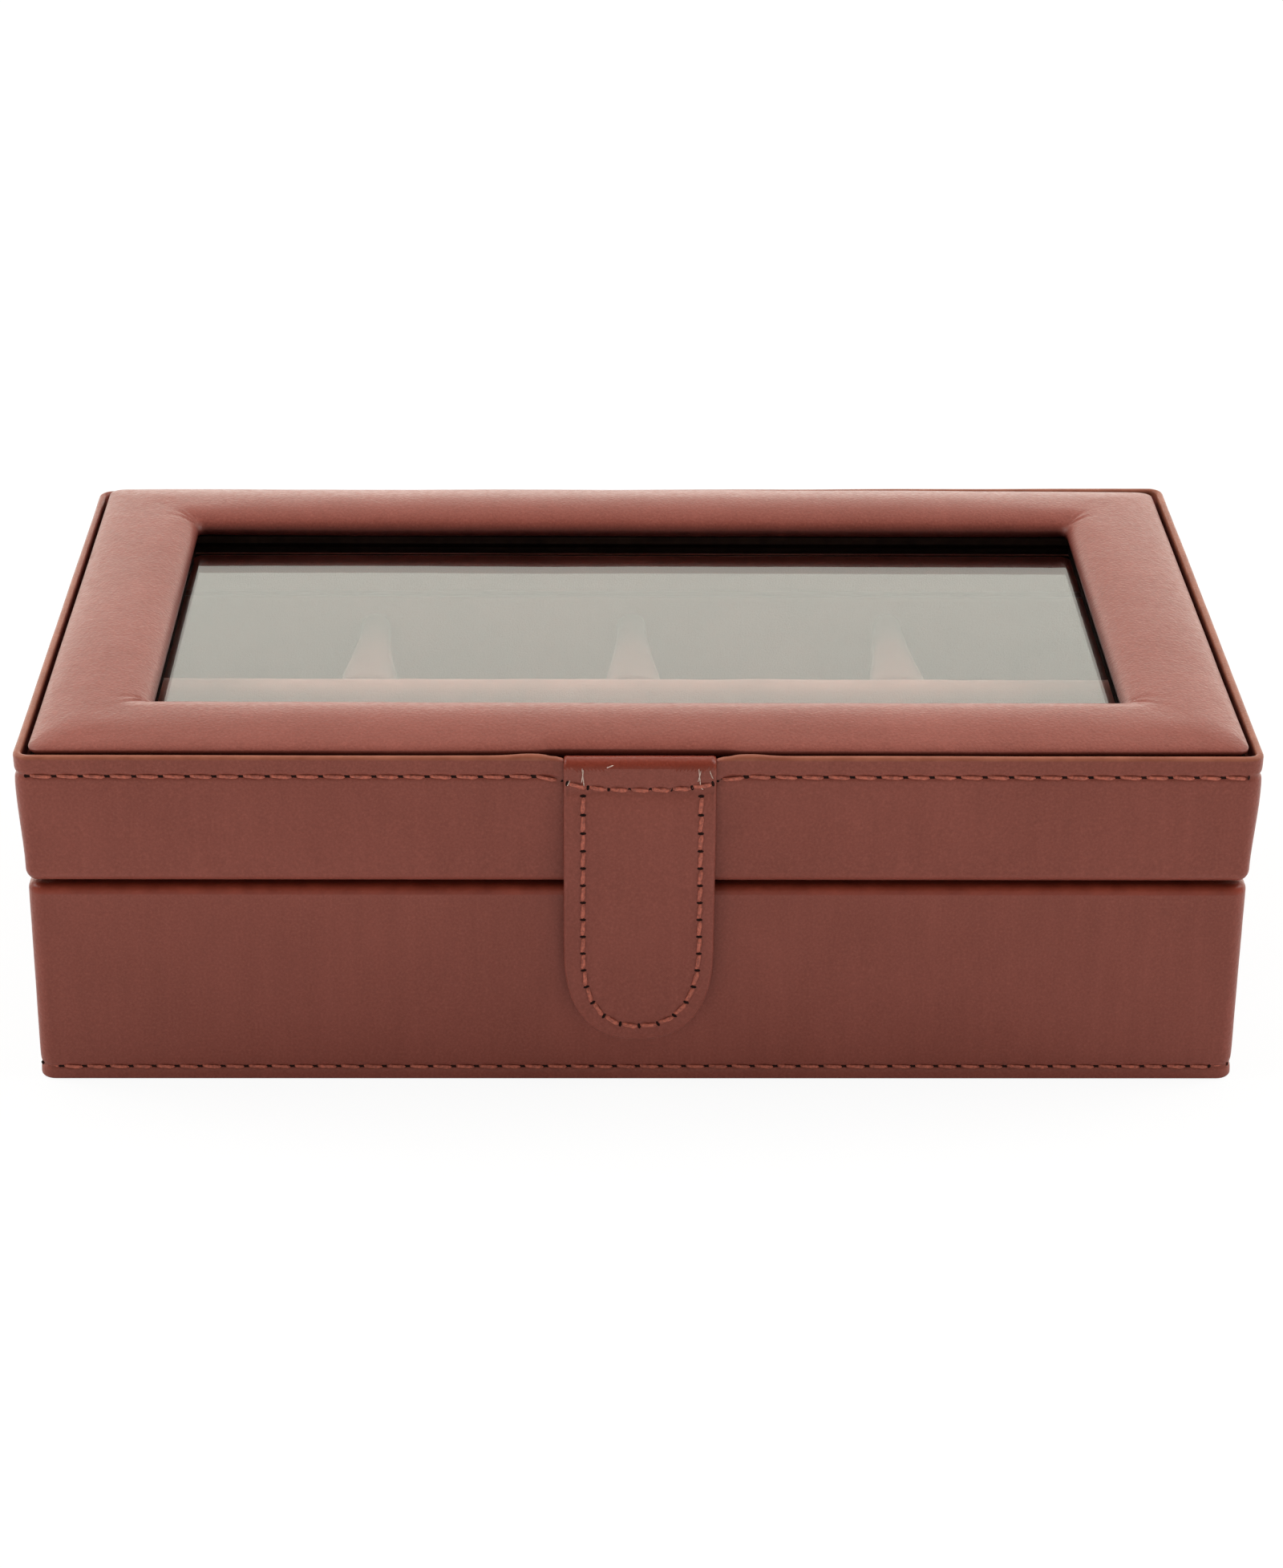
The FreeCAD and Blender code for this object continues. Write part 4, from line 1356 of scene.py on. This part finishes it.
def flare(piece, node):
    """A cross divider lies a little lower than the long ones, which run on over it, and spreads where
    it comes up to the rear one. From there to the front it gets their lighter velour, a painted light."""
    low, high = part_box(node)
    spans = [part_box(name) for name in LONG_DIVIDERS]
    middle = (low.x + high.x) / 2
    edge = spans[1][1].y
    for vert in piece.data.vertices:
        beyond = smooth_step((vert.co.y - edge + 0.3 * MM) / (1.5 * MM))
        near = bell(vert.co.y - edge, 15 * MM) * beyond
        upper = smooth_step((vert.co.z - high.z + 12 * MM) / (9 * MM))
        vert.co.x = middle + (vert.co.x - middle) * (1 + near * upper)
        outside = min(max((start.y - vert.co.y) / CROSSING_REACH[0],
                          (vert.co.y - end.y) / CROSSING_REACH[1]) for start, end in spans)
        crossing = 1 - smooth_step(outside)
        vert.co.z -= (CROSS_DROP + CROSSING_DROP * crossing) * upper
    # Painted light: the front part of a cross divider gets the long dividers' lighter velour.
    second_material(piece, velour_raised, lambda face: face.center.y < edge)
    piece.data.update()


def is_window_edge(face):
    """Whether a face of the top lining is part of its edge round the window."""
    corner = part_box("glass_pane")[1]
    over_glass = abs(face.center.x) < corner.x and abs(face.center.y) < corner.y
    return over_glass and abs(face.normal.z) < 0.8


def linings():
    """Velour on the floor, walls and dividers, and inside the lid. The top lining's edge at the window
    gets painted shade: near-black, like the board that it is glued to."""
    soft_copy("base_floor_lining", velour, 0.12 * MM)
    top = soft_copy("lid_top_lining", velour, 0.05 * MM, shrink=0)
    # Painted shade: the lining's edge round the window gets the near-black material.
    second_material(top, turned_under, is_window_edge)
    for side in SIDES:
        for half in ("base", "lid"):
            soft_copy(f"{half}_{side}_liner", velour, 0.02 * MM, voxel=0.5 * MM, shrink=0)
    for node in LONG_DIVIDERS:
        # Painted light: the long dividers get the lighter copy of the velour.
        soft_copy(node, velour_raised, 0.14 * MM, plugs=slot_plugs(node))
    for node in CROSS_DIVIDERS:
        # Painted shade: the cross dividers get the darker copy of the velour.
        flare(soft_copy(node, velour_crossed, 0.14 * MM), node)


# ---- Camera, floor and lights ----

BACK_SKY = 1.75                 # strength of the sky behind the box
FRONT_SKY = 0.2                 # in front of it
FRONT_LOW = 0.85                # and of the low light added in front
HORIZON = 1.4                   # how much more there is at the horizon, as a share
SKY_TINT = (1.0, 0.98, 0.88, 1)
SIDE_WATTS = 14.5
SIDE_REACH = 1.05
SENSOR = 36.0                   # mm
FLOOR_REACH = 6.0
FLOOR_Z = -0.05 * MM
FLOOR_TONE = (0.82, 0.82, 0.82, 1)
FLOOR_SEEN_WHITE = 0.92


def photo_camera():
    """Camera at the photograph's viewing angle."""
    focal_px = 4609.0
    frame_w, frame_h = 1600.0, 1955.0
    down = math.radians(25.28)
    yaw = math.radians(-0.96)
    roll = math.radians(0.49)
    data = bpy.data.cameras.new("camera")
    data.sensor_fit = "AUTO"
    data.sensor_width = SENSOR
    data.lens = focal_px / max(frame_w, frame_h) * SENSOR
    data.clip_start = 0.01
    camera = in_scene("camera", data)
    camera.location = Vector((-8.0, -546.5, 282.3)) * MM
    camera.rotation_mode = "QUATERNION"
    turn = Quaternion((0, 0, 1), yaw)
    tilt = Quaternion((1, 0, 0), math.pi / 2 - down)
    spin = Quaternion((0, 0, 1), roll)
    camera.rotation_quaternion = turn @ tilt @ spin
    bpy.context.scene.camera = camera


def floor():
    """A pale floor. The camera sees it almost white, with the box's shadow left on it."""
    sides = ((-1, -1), (1, -1), (1, 1), (-1, 1))
    corners = [(x * FLOOR_REACH, y * FLOOR_REACH, FLOOR_Z) for x, y in sides]
    piece = in_scene("floor", new_mesh("floor", corners, [(0, 1, 2, 3)]))
    m = Nodes(bpy.data.materials.new("floor"))
    shader = m.tree.nodes["Principled BSDF"]
    shader.inputs["Roughness"].default_value = 0.9
    shader.inputs["Base Color"].default_value = FLOOR_TONE
    glow = m.new("Emission", {"Color": (1, 1, 1, 1)})
    share = m.reckon("MULTIPLY", m.seen(), FLOOR_SEEN_WHITE)
    both = m.new("MixShader", {"Fac": share, 1: shader.outputs[0], 2: glow.outputs[0]})
    m.feed(m.tree.nodes["Material Output"].inputs["Surface"], both.outputs[0])
    piece.data.materials.append(m.owner)


def sky():
    """Soft light from behind and above, brightest low down, and a low weak one in front. The camera
    sees plain white past the box."""
    m = Nodes(bpy.data.worlds.new("studio"))
    split = m.new("SeparateXYZ", {0: m.new("TexCoord").outputs["Generated"]})
    depth = split.outputs["Y"]
    height = split.outputs["Z"]
    main = m.span(depth, FRONT_SKY, BACK_SKY, -0.35, 0.45, "SMOOTHSTEP")
    horizon = m.span(height, 1 + HORIZON, 1.0, 0.0, 0.3)
    low = m.span(height, FRONT_LOW, 0.0, 0.2, 0.6)
    front = m.span(depth, 0.0, 1.0, -0.1, -0.5)
    total = m.reckon("ADD", m.reckon("MULTIPLY", main, horizon), m.reckon("MULTIPLY", low, front))
    background = m.tree.nodes["Background"]
    m.feed(background.inputs["Strength"], m.mix(total, 1.0, m.seen(), "FLOAT"))
    m.feed(background.inputs["Color"], m.mix(SKY_TINT, (1, 1, 1, 1), m.seen()))
    bpy.context.scene.world = m.owner


def soft_light(name, place, width, height, watts):
    """A rectangular lamp aimed at the middle of the box."""
    data = bpy.data.lights.new(name, "AREA")
    data.shape = "RECTANGLE"
    data.size = width
    data.size_y = height
    data.energy = watts
    lamp = in_scene(name, data)
    lamp.location = place
    aim = Vector((0, 0, 0.03)) - Vector(place)
    lamp.rotation_mode = "QUATERNION"
    lamp.rotation_quaternion = aim.to_track_quat("-Z", "Y")


# ---- The scene ----

dress_cad_nodes()
tray_leather()
tray_stitches()
lid_leather()
lid_stitches()
padding()
tab()
linings()
photo_camera()
floor()
sky()
for name, side in (("left_softbox", -1), ("right_softbox", 1)):
    soft_light(name, (side * SIDE_REACH, 0.1, 1.15), 0.8, 1.0, SIDE_WATTS)
bpy.context.scene.view_settings.view_transform = "Standard"
